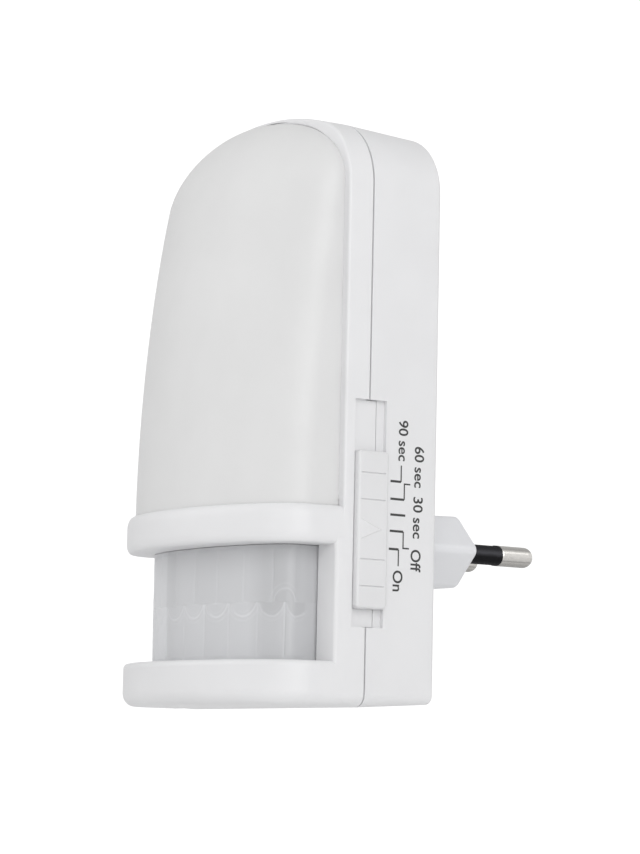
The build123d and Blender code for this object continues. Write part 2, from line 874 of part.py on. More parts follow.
with BuildPart() as sensor_legs:
    for x, height in ((-2.5, 0), (0, 2.5), (2.5, 0)):
        peg(x, sensor_height + height - 0.8, can_base_y, board_front_y - 0.02, lead_radius)

with BuildPart() as photocell:
    peg(photocell_x, sensor_height, -34.5, -32.3, 2.5)
    for offset in (-1.3, 1.3):
        peg(photocell_x + offset, sensor_height, -33, board_front_y - 0.02, lead_radius)

# ---------------------------------------------------------------- components

chip_left = -9.0
chip_right = -5.0
chip_low = 38.0
leg_pitch = 1.27

with BuildPart() as dropper_capacitor:
    box_between((-20, -35.5, level(72)), (-9, board_front_y - 0.02, level(90)))
    fillet(dropper_capacitor.edges().filter_by(Axis.Z), 0.8)

with BuildPart() as smoothing_capacitor:
    with Locations((5, board_front_y - 4.1, level(80))):
        Cylinder(4, 14)
    fillet(smoothing_capacitor.faces().sort_by(Axis.Z)[-1].edges(), 0.5)

with BuildPart() as fuse_resistor:
    with Locations((-20.5, board_front_y - 1.8, level(52))):
        Cylinder(1.75, 9)
        Cylinder(0.3, 13)

with BuildPart() as bridge_rectifier:
    box_between((-2.5, board_front_y - 2.4, level(58)), (4, board_front_y - 0.02, level(63)))
    chamfer(bridge_rectifier.faces().sort_by(Axis.Y)[0].edges(), 0.3)

with BuildPart() as control_chip:
    box_between((chip_left, board_front_y - 1.7, level(chip_low)),
                (chip_right, board_front_y - 0.25, level(chip_low + 10)))

with BuildPart() as chip_legs:
    for row in range(8):
        leg_z = level(chip_low + 0.55 + leg_pitch * row)
        for x in (chip_left, chip_right):
            box_between(
                (x - 0.7, board_front_y - 0.6, leg_z - 0.2),
                (x + 0.7, board_front_y - 0.02, leg_z + 0.2),
            )
    add(control_chip.part, mode=Mode.SUBTRACT)

with BuildPart() as chip_resistors:
    for row in range(4):
        for x in (5, 10):
            box_between(
                (x, board_front_y - 0.6, level(37 + 3.4 * row)),
                (x + 3.1, board_front_y - 0.02, level(37 + 3.4 * row) + 1.6),
            )

with BuildPart() as zener_diode:
    with Locations((12.5, board_front_y - 1.05, level(60))):
        Cylinder(1, 4.2)

with BuildPart() as transistor:
    with BuildSketch(front_plane(board_front_y - 0.02)):
        with Locations((9, level(68))):
            Circle(2.4)
            with Locations((0, -2.4)):
                Rectangle(6, 2, mode=Mode.SUBTRACT)
    extrude(amount=4.6)

# ---------------------------------------------------------------- write the pieces

pieces = {
    "rear_case": rear_case,
    "front_case": front_case,
    "plug_body": plug_body,
    "pin_left": pin_left,
    "pin_right": pin_right,
    "sleeve_left": sleeve_left,
    "sleeve_right": sleeve_right,
    "contact_left": contact_left,
    "contact_right": contact_right,
    "diffuser": diffuser,
    "pir_lens": pir_lens,
    "lens_frame": lens_frame,
    "switch_knob": switch_knob,
    "switch_carrier": switch_carrier,
    "switch_wiper": switch_wiper,
    "detent_leaf": detent_leaf,
    "switch_frame": switch_frame,
    "switch_contacts": switch_contacts,
    "main_board": main_board,
    "board_screws": board_screws,
    "case_screws": case_screws,
    "reflector": reflector,
    "led_board": led_board,
    "leds": leds,
    "link_pins": link_pins,
    "light_baffle": light_baffle,
    "pir_sensor": pir_sensor,
    "pir_filter": pir_filter,
    "sensor_spacer": sensor_spacer,
    "sensor_legs": sensor_legs,
    "photocell": photocell,
    "dropper_capacitor": dropper_capacitor,
    "smoothing_capacitor": smoothing_capacitor,
    "fuse_resistor": fuse_resistor,
    "bridge_rectifier": bridge_rectifier,
    "control_chip": control_chip,
    "chip_legs": chip_legs,
    "chip_resistors": chip_resistors,
    "zener_diode": zener_diode,
    "transistor": transistor,
}
for piece_name, piece in pieces.items():
    piece.part.label = piece_name
    export_step(piece.part, f"parts/{piece_name}.step")
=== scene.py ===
"""Looks of a plug-in night light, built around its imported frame.

Lengths are in millimetres until a mesh is made. The origin lies between the plug pins in the
plug face, +Y runs into the wall, +Z is up, and heights are counted from the case's bottom.
"""

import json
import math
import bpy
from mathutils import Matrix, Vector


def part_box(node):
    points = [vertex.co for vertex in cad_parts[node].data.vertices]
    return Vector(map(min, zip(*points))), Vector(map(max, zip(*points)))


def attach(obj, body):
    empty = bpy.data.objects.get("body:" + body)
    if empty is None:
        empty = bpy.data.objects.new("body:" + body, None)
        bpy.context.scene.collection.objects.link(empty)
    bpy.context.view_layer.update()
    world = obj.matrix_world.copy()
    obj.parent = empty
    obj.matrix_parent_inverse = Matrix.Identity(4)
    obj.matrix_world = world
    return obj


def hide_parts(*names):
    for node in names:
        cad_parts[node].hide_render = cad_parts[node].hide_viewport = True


bl_info = {
    "name": "Plug-in Night Light",
    "version": (1, 0, 0),
    "blender": (4, 5, 0),
    "location": "View3D > Sidebar > Night Light",
    "description": "Shells, diffuser, sensor lens, switch, plug and finishes of a night light",
    "category": "Add Mesh",
}

import bmesh
import bpy
import numpy as np
from bpy.props import FloatProperty, FloatVectorProperty, PointerProperty
from mathutils import Matrix, Vector

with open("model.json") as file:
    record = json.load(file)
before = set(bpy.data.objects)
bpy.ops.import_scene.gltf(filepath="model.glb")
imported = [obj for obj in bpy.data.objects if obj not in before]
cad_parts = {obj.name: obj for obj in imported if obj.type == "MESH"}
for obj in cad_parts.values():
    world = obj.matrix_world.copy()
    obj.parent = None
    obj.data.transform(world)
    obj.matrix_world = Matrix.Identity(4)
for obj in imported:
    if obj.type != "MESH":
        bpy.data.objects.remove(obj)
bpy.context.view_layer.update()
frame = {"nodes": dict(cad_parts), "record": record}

MM = 0.001
CASE_LOW = np.array(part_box("rear_case")[0]) / MM
KNOB_LOW, KNOB_HIGH = (np.array(corner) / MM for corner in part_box("switch_knob"))

BOTTOM = float(CASE_LOW[2])
HALF_WIDTH, CASE_HEIGHT = 30.0, 110.0
SPRING = BOTTOM + 94.5
CORNER_RADIUS, CORNER_X = 13.0, 17.0
CROWN_RADIUS, CROWN_SPREAD = 72.05, 17.0
FOOT_RADIUS, FOOT_X = 2.5, 27.5
SEAM_Y, SEAM_GAP, BACK_Y, RIM_Y, LIP_Y = -34.4, 0.3, -18.5, -39.5, -38.3
REAR_SLOPE, FRONT_SLOPE = math.tan(math.radians(3.4)), math.tan(math.radians(2.3))
BOW_Y, BOW_DEPTH, BOW_HALF = -45.0, 13.0, 29.574
DOME_TOP, DOME_HALF, DOME_SPRING, ARCH_POWER = 109.14, 28.0, 95.33, 2.0
CHANNEL_Y = (-37.45, -30.56)
CHANNEL_Z = (BOTTOM + 14.2, BOTTOM + 55.15)
CHANNEL_FLOOR, CHANNEL_WALL = 28.9, (27.5, 29.3)
SCREW_X, SCREW_HEIGHT = 22.5, 5.9
WINDOW_HALF, WINDOW_FOOT, WINDOW_TOP = 23.9, 8.0, 28.8
LENS_HALF, LENS_BOW, LENS_WALL, LENS_FOOT, LENS_TOP = 23.6, 6.85, 0.7, 8.1, 28.7
ZONE_WIDTH, ZONE_MIDDLE = 7.3, 18.4
DOME_FOOT, DOME_SEAT, DOME_DEPTH, DOME_FLANK = 33.62, 34.35, 16.85, 5.37
KNOB_FRONT, KNOB_BACK, KNOB_FACE, KNOB_HALF_HEIGHT = -37.3, -30.72, 31.2, 14.15
GRIP_LINES = (-10.15, -5.35, 5.35, 10.15)
PLUG_HALF_WIDTH, PLUG_HALF_HEIGHT, PLUG_SHOULDER = 17.65, 6.85, 10.8
PIN_RADIUS, PIN_LENGTH, PIN_LEAN = 2.0, 17.0, 0.028935
SCRATCH_WIDTH, MILK_DEPTH = 0.4, 1.5
WORLD_BASE = 0.64
GLOW_AIM, GLOW_START, GLOW_END, GLOW_RISE = (-0.825, 0.554, 0.116), 0.93, 0.983, 0.48
# Pin bands: a painted reflection, darker below, in a streak and at the top, with a painted
# highlight band above the middle.
PIN_REFLECTION_BANDS = ((0.0, -0.55), (0.10, -0.42), (0.19, -0.22), (0.24, -0.5), (0.28, -0.12),
             (0.40, 0.05), (0.50, 0.37), (0.68, 0.37), (0.80, -0.32), (0.98, -0.2))
# Sleeve bands: a painted highlight above the middle, and a painted reflection lighter near both
# edges.
SLEEVE_HIGHLIGHT_BANDS = ((0.06, 1.2), (0.18, 0.2), (0.38, 0.2), (0.46, 2.2), (0.52, 4.5), (0.57, 6.0),
                (0.64, 4.6), (0.74, 2.0), (0.85, 1.2), (0.95, 1.5))
FINISHES = {}


# ------------------------------------------------------------------ sizes and colours

def length(name, description, default):
    """A length property shown in millimetres."""
    return FloatProperty(name=name, description=description, default=default, min=0.0,
                         unit="NONE", precision=2)


def colour(name, description, default):
    """A linear colour property."""
    return FloatVectorProperty(name=name, description=description, default=default, size=3,
                               min=0.0, max=1.0, subtype="COLOR")


class NightLightSizes(bpy.types.PropertyGroup):
    """Sizes that a user may change, in millimetres."""
    dome_wall: length("Dome wall", "Wall thickness of the diffuser", 1.7)
    dome_gap: length("Dome gap", "Gap between the diffuser and the rim", 0.01)
    rim_round: length("Rim rounding", "Radius of the front rim's outer edge", 0.5)
    back_round: length("Back rounding", "Radius of the case's rear edge", 0.9)
    pillar_round: length("Pillar rounding", "Radius of the sensor pillars' outer edges", 0.8)
    facet_rise: length("Facet rise", "How far each lens zone bulges", 0.10)
    facet_groove: length("Facet groove", "Depth of the lines between lens zones", 0.07)
    lens_taper: length("Lens taper", "How far each lens side leans in at the bottom", 0.35)
    print_height: length("Print height", "Thickness of the printed scale", 0.02)
    mark_width: length("Mark width", "Width of the heavy marks of the scale", 0.42)
    line_width: length("Line width", "Width of the thin lines of the scale", 0.27)
    groove_depth: length("Grip groove depth", "Depth of the knob's grip lines", 0.22)
    pin_spread: length("Pin spacing", "Distance between the pins at the plug face", 18.6)


class NightLightColours(bpy.types.PropertyGroup):
    """Colours that a user may change."""
    housing: colour("Housing", "White of the case", (0.768, 0.768, 0.778))
    diffuser: colour("Diffuser", "White of the dome", (0.72, 0.72, 0.72))
    lens: colour("Lens", "Milky grey of the sensor lens", (0.59, 0.595, 0.61))
    plug: colour("Plug", "White of the plug body", (0.757, 0.762, 0.782))
    scale: colour("Scale", "Ink of the printed scale", (0.045, 0.045, 0.045))
    sleeve: colour("Sleeve", "Insulation of the pins", (0.009, 0.009, 0.010))
    pin: colour("Pin", "Nickel of the pins", (0.73, 0.71, 0.68))
    floor: colour("Floor", "Pale floor under the object", (0.92, 0.92, 0.92))


# ------------------------------------------------------------------ mesh helpers

def linked(name, data):
    """An object of the scene that holds the given data."""
    obj = bpy.data.objects.new(name, data)
    bpy.context.scene.collection.objects.link(obj)
    return obj


def coordinates(mesh):
    """The places of a mesh's points as an array."""
    flat = np.empty(len(mesh.vertices) * 3)
    mesh.vertices.foreach_get("co", flat)
    return flat.reshape(-1, 3)


def settled_mesh(obj):
    """A new mesh of an object with its modifiers or its lettering worked out."""
    bpy.context.view_layer.update()
    graph = bpy.context.evaluated_depsgraph_get()
    return bpy.data.meshes.new_from_object(obj.evaluated_get(graph))


def new_object(name, points, quads, triangles=()):
    """A mesh object from points in millimetres; doubles are merged and faces turned outwards."""
    mesh = bpy.data.meshes.new(name)
    faces = np.asarray(quads).tolist() + np.asarray(triangles).tolist()
    mesh.from_pydata((np.asarray(points) * MM).tolist(), [], faces)
    tidy_mesh(mesh)
    return linked(name, mesh)


def tidy_mesh(mesh):
    """Merges doubled points, drops flat faces and turns a closed mesh's faces outwards."""
    work = bmesh.new()
    work.from_mesh(mesh)
    bmesh.ops.remove_doubles(work, verts=work.verts, dist=1e-7)
    bmesh.ops.dissolve_degenerate(work, edges=work.edges, dist=1e-8)
    bmesh.ops.recalc_face_normals(work, faces=work.faces)
    work.to_mesh(mesh)
    work.free()


def strip_faces(rows, columns, around=True, closed=False):
    """Quads between neighbouring rows of a grid; around joins last column to first."""
    row = np.arange(rows if closed else rows - 1)[:, None]
    column = np.arange(columns if around else columns - 1)[None, :]
    above = (row + 1) % rows
    beside = (column + 1) % columns
    corners = (row * columns + column, row * columns + beside,
               above * columns + beside, above * columns + column)
    return np.stack(corners, -1).reshape(-1, 4)


def ring_solid(name, rings, closed=False):
    """A closed solid through a stack of rings; its two ends are fans round their middles."""
    rings = np.asarray(rings, float)
    rows, columns = rings.shape[:2]
    points = rings.reshape(-1, 3)
    quads = strip_faces(rows, columns, closed=closed)
    if closed:
        return new_object(name, points, quads)
    poles = np.stack([rings[0].mean(0), rings[-1].mean(0)])
    start = np.arange(columns)
    step = (start + 1) % columns
    last = (rows - 1) * columns
    low = np.stack([step, start, np.full(columns, len(points))], -1)
    high = np.stack([last + start, last + step, np.full(columns, len(points) + 1)], -1)
    return new_object(name, np.concatenate([points, poles]), quads, np.concatenate([low, high]))


def box_solid(low, high):
    """A closed box between two corners."""
    low, high = np.asarray(low, float), np.asarray(high, float)
    pick = np.array([[i & 1, i >> 1 & 1, i >> 2 & 1] for i in range(8)])
    quads = [(0, 2, 3, 1), (4, 5, 7, 6), (0, 1, 5, 4), (2, 6, 7, 3), (0, 4, 6, 2), (1, 3, 7, 5)]
    return new_object("box", np.where(pick, high, low), quads)


def merged(name, parts):
    """One object from several closed ones, each kept whole."""
    points, faces, base = [], [], 0
    for part in parts:
        mesh = part.data
        points.append(coordinates(mesh))
        faces += [[base + vertex for vertex in face.vertices] for face in mesh.polygons]
        base += len(mesh.vertices)
    discard(parts)
    mesh = bpy.data.meshes.new(name)
    mesh.from_pydata(np.concatenate(points).tolist(), [], faces)
    return linked(name, mesh)


def discard(parts):
    """Removes helper objects and their meshes."""
    for part in parts:
        mesh = part.data
        bpy.data.objects.remove(part)
        if mesh.users == 0:
            bpy.data.meshes.remove(mesh)


def carve(body, add, cut):
    """Joins closed solids to a body, then cuts others from it, and keeps the result."""
    tools = [*add, *cut]
    for tool in tools:
        change = body.modifiers.new("carve", "BOOLEAN")
        change.operation = "UNION" if tool in add else "DIFFERENCE"
        change.solver = "MANIFOLD"
        change.object = tool
    result = settled_mesh(body)
    if not result.polygons:
        raise RuntimeError(f"carving {body.name} left nothing")
    old = body.data
    body.modifiers.clear()
    body.data = result
    bpy.data.meshes.remove(old)
    discard(tools)


def rounded(corners, radii, steps=6, guard=0.2):
    """Path whose corners are arcs of the given radii, with a guard point beside each arc."""
    corners = [np.asarray(corner, float) for corner in corners]
    path = [corners[0]]
    for before, here, after, radius in zip(corners, corners[1:], corners[2:], radii):
        back = (before - here) / np.linalg.norm(before - here)
        ahead = (after - here) / np.linalg.norm(after - here)
        half = math.acos(float(np.clip(back @ ahead, -1, 1))) / 2
        reach = radius / math.tan(half)
        middle = here + (back + ahead) / np.linalg.norm(back + ahead) * radius / math.sin(half)
        first, last = here + back * reach - middle, here + ahead * reach - middle
        turn = math.pi - 2 * half
        share = np.linspace(0, 1, steps + 1)[:, None]
        arc = (np.sin((1 - share) * turn) * first + np.sin(share * turn) * last) / math.sin(turn)
        path += [here + back * (reach + guard), *(middle + arc), here + ahead * (reach + guard)]
    path.append(corners[-1])
    return np.array(path)


def finish(obj, body, nodes, slot, look=None, sharp=32.0):
    """Smooths a piece, gives it its finish and says what it rides on and replaces."""
    mesh = obj.data
    mesh.materials.clear()
    mesh.materials.append(finishes()[look or slot])
    mesh.polygons.foreach_set("material_index", np.zeros(len(mesh.polygons), np.int32))
    mesh.shade_smooth()
    mesh.set_sharp_from_angle(angle=math.radians(sharp))
    mesh.update()
    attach(obj, body)
    if nodes:
        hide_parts(*nodes)


# ------------------------------------------------------------------ outlines

def arc_points(middle, radius, start, sweep, steps):
    """Points on a circle's arc; the radius never falls below a hair."""
    turn = np.radians(start + sweep * np.linspace(0, 1, steps))
    radius = max(radius, 0.02)
    return np.stack([middle[0] + radius * np.cos(turn), middle[1] + radius * np.sin(turn)], -1)


def case_outline(inset):
    """Arched outline (x, z), anticlockwise from the foot: feet, sides, corner arcs and crown.

    Every arc keeps its middle and loses the inset from its radius, so outlines are parallel.
    A foot arc that has no radius left moves inwards instead.
    """
    crown_z = BOTTOM + CASE_HEIGHT - CROWN_RADIUS
    lean = math.degrees(math.atan2(SPRING - crown_z, CROWN_SPREAD))
    past = max(inset - FOOT_RADIUS + 0.02, 0)
    low, half = BOTTOM + inset, HALF_WIDTH - inset
    foot_x, foot_z = FOOT_X - past, BOTTOM + FOOT_RADIUS + past
    guard = 0.4
    right = [
        [(foot_x * share, low) for share in (0.25, 0.5, 0.75)] + [(foot_x - guard, low)],
        arc_points((foot_x, foot_z), FOOT_RADIUS - inset, -90, 90, 9),
        [(half, foot_z + guard)],
        [(half, foot_z + (SPRING - foot_z) * share) for share in (0.2, 0.4, 0.6, 0.8)],
        [(half, SPRING - guard)],
        arc_points((CORNER_X, SPRING), CORNER_RADIUS - inset, 0, lean, 22)[:-1],
        arc_points((0, crown_z), CROWN_RADIUS - inset, lean, 90 - lean, 26),
    ]
    right = np.concatenate([np.asarray(part, float) for part in right])
    left = right[-2::-1] * (-1, 1)
    return np.concatenate([[(0, low)], right, left])


def dome_outline(gap):
    """Outline (x, z) of the dome's opening, point for point beside the case's outline.

    Above the dome's spring line it is |x / half| ** p + |z / rise| ** p = 1; below it are
    straight sides on a square foot.
    """
    case = case_outline(0)
    half, spring = DOME_HALF + gap, BOTTOM + DOME_SPRING
    rise, low = DOME_TOP - DOME_SPRING + gap, BOTTOM + DOME_SEAT - 0.1
    turn = np.arctan2(np.maximum(case[:, 1] - spring, 0), case[:, 0])
    reach = (np.abs(np.cos(turn) / half) ** ARCH_POWER
             + np.abs(np.sin(turn) / rise) ** ARCH_POWER) ** (-1 / ARCH_POWER)
    arch = np.stack([reach * np.cos(turn), spring + reach * np.sin(turn)], -1)
    share = (case[:, 1] - BOTTOM) / (spring - BOTTOM)
    foot = np.abs(case[:, 0]) < FOOT_X - 0.3
    across = np.where(foot, np.clip(case[:, 0] * 1.2, -half, half), np.sign(case[:, 0]) * half)
    side = np.stack([across, low + (spring - low) * share], -1)
    side[foot, 1] = low
    return np.where(case[:, 1:] > spring, arch, side)


def raised(outline, lift):
    """An (x, z) outline whose crown stands up by a lift; the sides stay."""
    share = np.clip((outline[:, 1] - SPRING - 3.0) / 9.0, 0, 1)
    return outline + np.stack([0 * share, lift * share], -1)


def upright(outline, y):
    """An (x, z) outline placed at depth y."""
    return np.stack([outline[:, 0], np.full(len(outline), y), outline[:, 1]], -1)


def side_inset(y):
    """How far mould draft pulls the case's side in at depth y."""
    return REAR_SLOPE * (y - SEAM_Y) if y > SEAM_Y else FRONT_SLOPE * (SEAM_Y - y)


def bow_plan(half, start_y, depth, back_y, count=96):
    """Plan (x, y) of a bowed front: straight flanks that run into half an ellipse.

    The ellipse is x = half sin t, y = start - depth cos t; the back is a straight line.
    """
    turn = np.linspace(-math.pi / 2, math.pi / 2, count)
    bow = np.stack([half * np.sin(turn), start_y - depth * np.cos(turn)], -1)
    flank = np.linspace(back_y, start_y, 6)[:-1]
    left = np.stack([np.full(5, -half), flank], -1)
    right = np.stack([np.full(5, half), flank[::-1]], -1)
    across = np.linspace(half, -half, 8)[1:-1]
    back = np.stack([across, np.full(6, back_y)], -1)
    return np.concatenate([left, bow, right, back])


def collar_ring(inset, height, back_y=-38.9):
    """One ring of a collar: the bow plan, pulled in by an inset, at a height.

    Its flanks lie a hair inside the case's drafted sides, which widen by slope (y - bow y).
    """
    flush = 0.004
    plan = bow_plan(BOW_HALF - flush, BOW_Y, BOW_DEPTH, back_y)
    out = BOW_HALF + FRONT_SLOPE * np.maximum(plan[:, 1] - BOW_Y, 0) - flush - inset
    bow = bow_plan(BOW_HALF - flush - inset, BOW_Y, BOW_DEPTH - inset, back_y)
    flank = (np.abs(plan[:, 0]) > BOW_HALF - flush - 1e-6) & (plan[:, 1] > BOW_Y)
    x = np.where(flank, np.sign(plan[:, 0]) * out, bow[:, 0])
    return np.stack([x, bow[:, 1], np.full(len(x), BOTTOM + height)], -1)


# ------------------------------------------------------------------ finishes

def shade_tree(name):
    """A new material, its tree and its shader."""
    material = bpy.data.materials.new(name + "_finish")
    material.use_nodes = True
    tree = material.node_tree
    return material, tree, node_of(tree, "BSDF_PRINCIPLED")


def node_of(tree, kind):
    """The first node of a kind in a tree."""
    return next(node for node in tree.nodes if node.type == kind)


def fill(tree, node, values=(), links=()):
    """Sets a node's sockets from (socket, value) pairs and (socket, source) pairs."""
    for socket, value in values:
        node.inputs[socket].default_value = value
    for socket, source in links:
        tree.links.new(source, node.inputs[socket])


def add_node(tree, kind, values=(), links=(), **options):
    """A node with options, (socket, value) pairs and (socket, source) pairs."""
    node = tree.nodes.new("ShaderNode" + kind)
    for key, value in options.items():
        setattr(node, key, value)
    fill(tree, node, values, links)
    return node


def object_place(tree):
    """Object coordinates of a piece."""
    return add_node(tree, "TexCoord").outputs["Object"]


def noise(tree, size, detail=3.0):
    """Noise on Object coordinates whose grains are about size millimetres wide."""
    values = [("Scale", 1 / (size * MM)), ("Detail", detail), ("Roughness", 0.55)]
    return add_node(tree, "TexNoise", values, [("Vector", object_place(tree))]).outputs["Fac"]


def colour_ramp(tree, source, stops):
    """Turns a value into colours through (position, colour) stops."""
    node = add_node(tree, "ValToRGB", links=[("Fac", source)])
    elements = node.color_ramp.elements
    elements[0].position, elements[1].position = stops[0][0], stops[-1][0]
    for place, _ in stops[1:-1]:
        elements.new(place)
    for element, (_, tone) in zip(elements, stops):
        element.color = (*tone, 1)
    return node.outputs["Color"]


def mottled(tree, source, tone, by, start=0.35, end=0.65):
    """A tone that varies by a share either way as a value runs from start to end."""
    low, high = by if isinstance(by, tuple) else (-by, by)
    return colour_ramp(tree, source, ((start, shifted(tone, low)), (end, shifted(tone, high))))


def spread(tree, source, low, high, given=(0.3, 0.7)):
    """Maps a value from the given range onto another."""
    values = [("From Min", given[0]), ("From Max", given[1]), ("To Min", low), ("To Max", high)]
    return add_node(tree, "MapRange", values, [("Value", source)]).outputs["Result"]


def bump(tree, shader, source, depth):
    """Height detail of a depth in millimetres."""
    node = add_node(tree, "Bump", [("Distance", depth * MM), ("Strength", 1.0)],
                    [("Height", source)])
    fill(tree, shader, links=[("Normal", node.outputs["Normal"])])


def shifted(tone, by):
    """A colour made lighter or darker by a share."""
    return tuple(min(max(part * (1 + by), 0), 1) for part in tone)


def painted_light_by_height(tree, wobble, tone, painted_light_bands):
    """Painted reflection and highlight: a tone changed by bands from a pin's underside to its top,
    each (height, share).

    Heights run from 0 under the pin to 1 on top of it, with a slight wobble.
    """
    split = add_node(tree, "SeparateXYZ", links=[("Vector", object_place(tree))])
    height = spread(tree, split.outputs["Z"], -0.03, 0.97, (-0.002, 0.002))
    both = add_node(tree, "Math", [(1, 0.06)], [(0, wobble), (2, height)],
                    operation="MULTIPLY_ADD")
    return colour_ramp(tree, both.outputs["Value"],
                       [(place, shifted(tone, by)) for place, by in painted_light_bands])


def moulded(name, tone, rough=(0.38, 0.46), grain=0.25, depth=0.004, mottle=0.012, milky=0.0,
            shine=0.5, painted_light_bands=()):
    """Moulded plastic: faint cloudy tone, fine spark texture, and light let in where milky.
    With painted light bands its tone is instead a painted highlight and reflection from underside
    to top.
    """
    material, tree, shader = shade_tree(name)
    if painted_light_bands:
        tinted = painted_light_by_height(tree, noise(tree, 1.5), tone, painted_light_bands)
    else:
        tinted = mottled(tree, noise(tree, 14.0, 2.0), tone, mottle)
    fill(tree, shader, [("IOR", 1.5), ("Specular IOR Level", shine)],
         [("Base Color", tinted), ("Roughness", spread(tree, noise(tree, 3.0), *rough))])
    bump(tree, shader, noise(tree, grain, 2.0), depth)
    if milky:
        fill(tree, shader, [("Subsurface Weight", milky), ("Subsurface Radius", (1.0, 1.0, 1.0)),
                            ("Subsurface Scale", MILK_DEPTH * MM)])
    return material


def milky_lens_with_painted_light(name, tone):
    """Milky lens plastic whose tone follows the mesh's own tone value, zone by zone, with painted
    shade towards the switch side and a painted reflection at the far end.
    """
    material = moulded(name, tone, rough=(0.30, 0.40), depth=0.003, milky=0.15)
    tree = material.node_tree
    # The tone value holds painted shade and a painted reflection as well as the zones' own tones.
    zone_tone_and_painted_light = add_node(tree, "Attribute", attribute_name="zone_tone_and_painted_light").outputs["Fac"]
    fill(tree, node_of(tree, "BSDF_PRINCIPLED"),
         links=[("Base Color", mottled(tree, zone_tone_and_painted_light, tone, 0.16, 0.0, 1.0))])
    return material


def metal(name, tone, rough, painted_light_bands):
    """Drawn or turned metal: fine lines round the pin's run and soft patches of wear.

    With painted light bands its tone changes from its underside to its top as a painted
    reflection: darker below and in a streak, a painted highlight band above the middle, and
    darker again at the top.
    """
    material, tree, shader = shade_tree(name)
    squeeze = add_node(tree, "Mapping", [("Scale", (1.0, 9.0, 1.0))],
                       [("Vector", object_place(tree))])
    lines = add_node(tree, "TexNoise", [("Scale", 1 / (SCRATCH_WIDTH * MM))],
                     [("Vector", squeeze.outputs["Vector"])]).outputs["Fac"]
    patches = noise(tree, 1.5)
    if painted_light_bands:
        tinted = painted_light_by_height(tree, patches, tone, painted_light_bands)
    else:
        tinted = mottled(tree, patches, tone, 0.09, 0.3, 0.65)
    fill(tree, shader, [("Metallic", 0.95 if painted_light_bands else 1.0)],
         [("Base Color", tinted), ("Roughness", spread(tree, lines, *rough))])
    bump(tree, shader, lines, 0.003)
    return material


def laminate(name, tone):
    """Circuit board: woven glass under lacquer, a checker of two fine waves."""
    material, tree, shader = shade_tree(name)
    waves = [add_node(tree, "TexWave", [("Scale", 320.0), ("Distortion", 0.6)],
                      [("Vector", object_place(tree))], bands_direction=direction)
             for direction in ("X", "Z")]
    mix = add_node(tree, "Math", links=[(i, wave.outputs["Fac"]) for i, wave in enumerate(waves)],
                   operation="MULTIPLY").outputs[0]
    fill(tree, shader, [("Roughness", 0.32), ("Coat Weight", 0.4)],
         [("Base Color", mottled(tree, mix, tone, (-0.18, 0.22), 0.1, 0.9))])
    bump(tree, shader, mix, 0.01)
    return material


def tinted_glass(name, tone, through):
    """Glass of a small part, with faint streaks."""
    material, tree, shader = shade_tree(name)
    streaks = noise(tree, 1.2)
    fill(tree, shader, [("Transmission Weight", through)],
         [("Base Color", mottled(tree, streaks, tone, 0.1)),
          ("Roughness", spread(tree, streaks, 0.05, 0.12))])
    return material


def finishes():
    """Every finish of the object by the name of its slot, made once."""
    if FINISHES:
        return FINISHES
    tones = bpy.context.scene.night_light_colours
    moulds = {
        "housing_white": dict(tone=tones.housing),
        "knob_white": dict(tone=shifted(tones.housing, -0.05)),
        "diffuser_white": dict(tone=tones.diffuser, rough=(0.46, 0.52), depth=0.002, milky=0.25),
        "plug_white": dict(tone=tones.plug, rough=(0.28, 0.34), depth=0.002),
        # The sleeve's bands paint a highlight and reflection into its black.
        "sleeve_black": dict(tone=tones.sleeve, rough=(0.42, 0.55), grain=0.12, depth=0.003,
                             shine=0.05, painted_light_bands=SLEEVE_HIGHLIGHT_BANDS),
        "scale_ink": dict(tone=tones.scale, rough=(0.45, 0.6), grain=0.1, mottle=0.15),
        "switch_black": dict(tone=(0.02, 0.02, 0.022)),
        "carrier_grey": dict(tone=(0.30, 0.31, 0.32)),
        "board_white": dict(tone=(0.80, 0.80, 0.77), rough=(0.2, 0.3)),
        "led_yellow": dict(tone=(0.82, 0.62, 0.13), rough=(0.15, 0.25), mottle=0.08),
        "component_black": dict(tone=(0.015, 0.015, 0.016), rough=(0.4, 0.55), grain=0.1),
        "capacitor_yellow": dict(tone=(0.68, 0.42, 0.03), rough=(0.3, 0.4), mottle=0.04),
        "capacitor_sleeve": dict(tone=(0.01, 0.025, 0.08), rough=(0.18, 0.26)),
        "resistor_ceramic": dict(tone=(0.10, 0.24, 0.30), rough=(0.35, 0.5), mottle=0.06),
        "chip_ceramic": dict(tone=(0.03, 0.03, 0.032), rough=(0.3, 0.5)),
        "photocell_red": dict(tone=(0.36, 0.07, 0.02), rough=(0.35, 0.5), mottle=0.06),
    }
    made = {name: moulded(name, **{**look, "tone": tuple(look["tone"])})
            for name, look in moulds.items()}
    made["lens_white"] = milky_lens_with_painted_light("lens_white", tuple(tones.lens))
    made["board_green"] = laminate("board_green", (0.01, 0.10, 0.03))
    # The pin's bands paint a reflection and a highlight into its colour.
    for name, tone, rough, painted_light_bands in (
        ("pin_nickel", tuple(tones.pin), (0.20, 0.30), PIN_REFLECTION_BANDS),
        ("contact_brass", (0.62, 0.42, 0.17), (0.25, 0.4), ()),
        ("steel_zinc", (0.50, 0.51, 0.53), (0.3, 0.45), ()),
        ("can_metal", (0.55, 0.53, 0.49), (0.15, 0.25), ()),
    ):
        made[name] = metal(name, tone, rough, painted_light_bands)
    for name, tone, through in (("filter_dark", (0.05, 0.02, 0.025), 0.3),
                                ("diode_glass", (0.62, 0.24, 0.10), 0.6)):
        made[name] = tinted_glass(name, tone, through)
    FINISHES.update(made)
    return FINISHES


# ------------------------------------------------------------------ the pieces

def channel_box(x, y, past):
    """Box between two x and two y, as tall as the switch channel and past its ends."""
    return box_solid((x[0], y[0], CHANNEL_Z[0] - past), (x[1], y[1], CHANNEL_Z[1] + past))


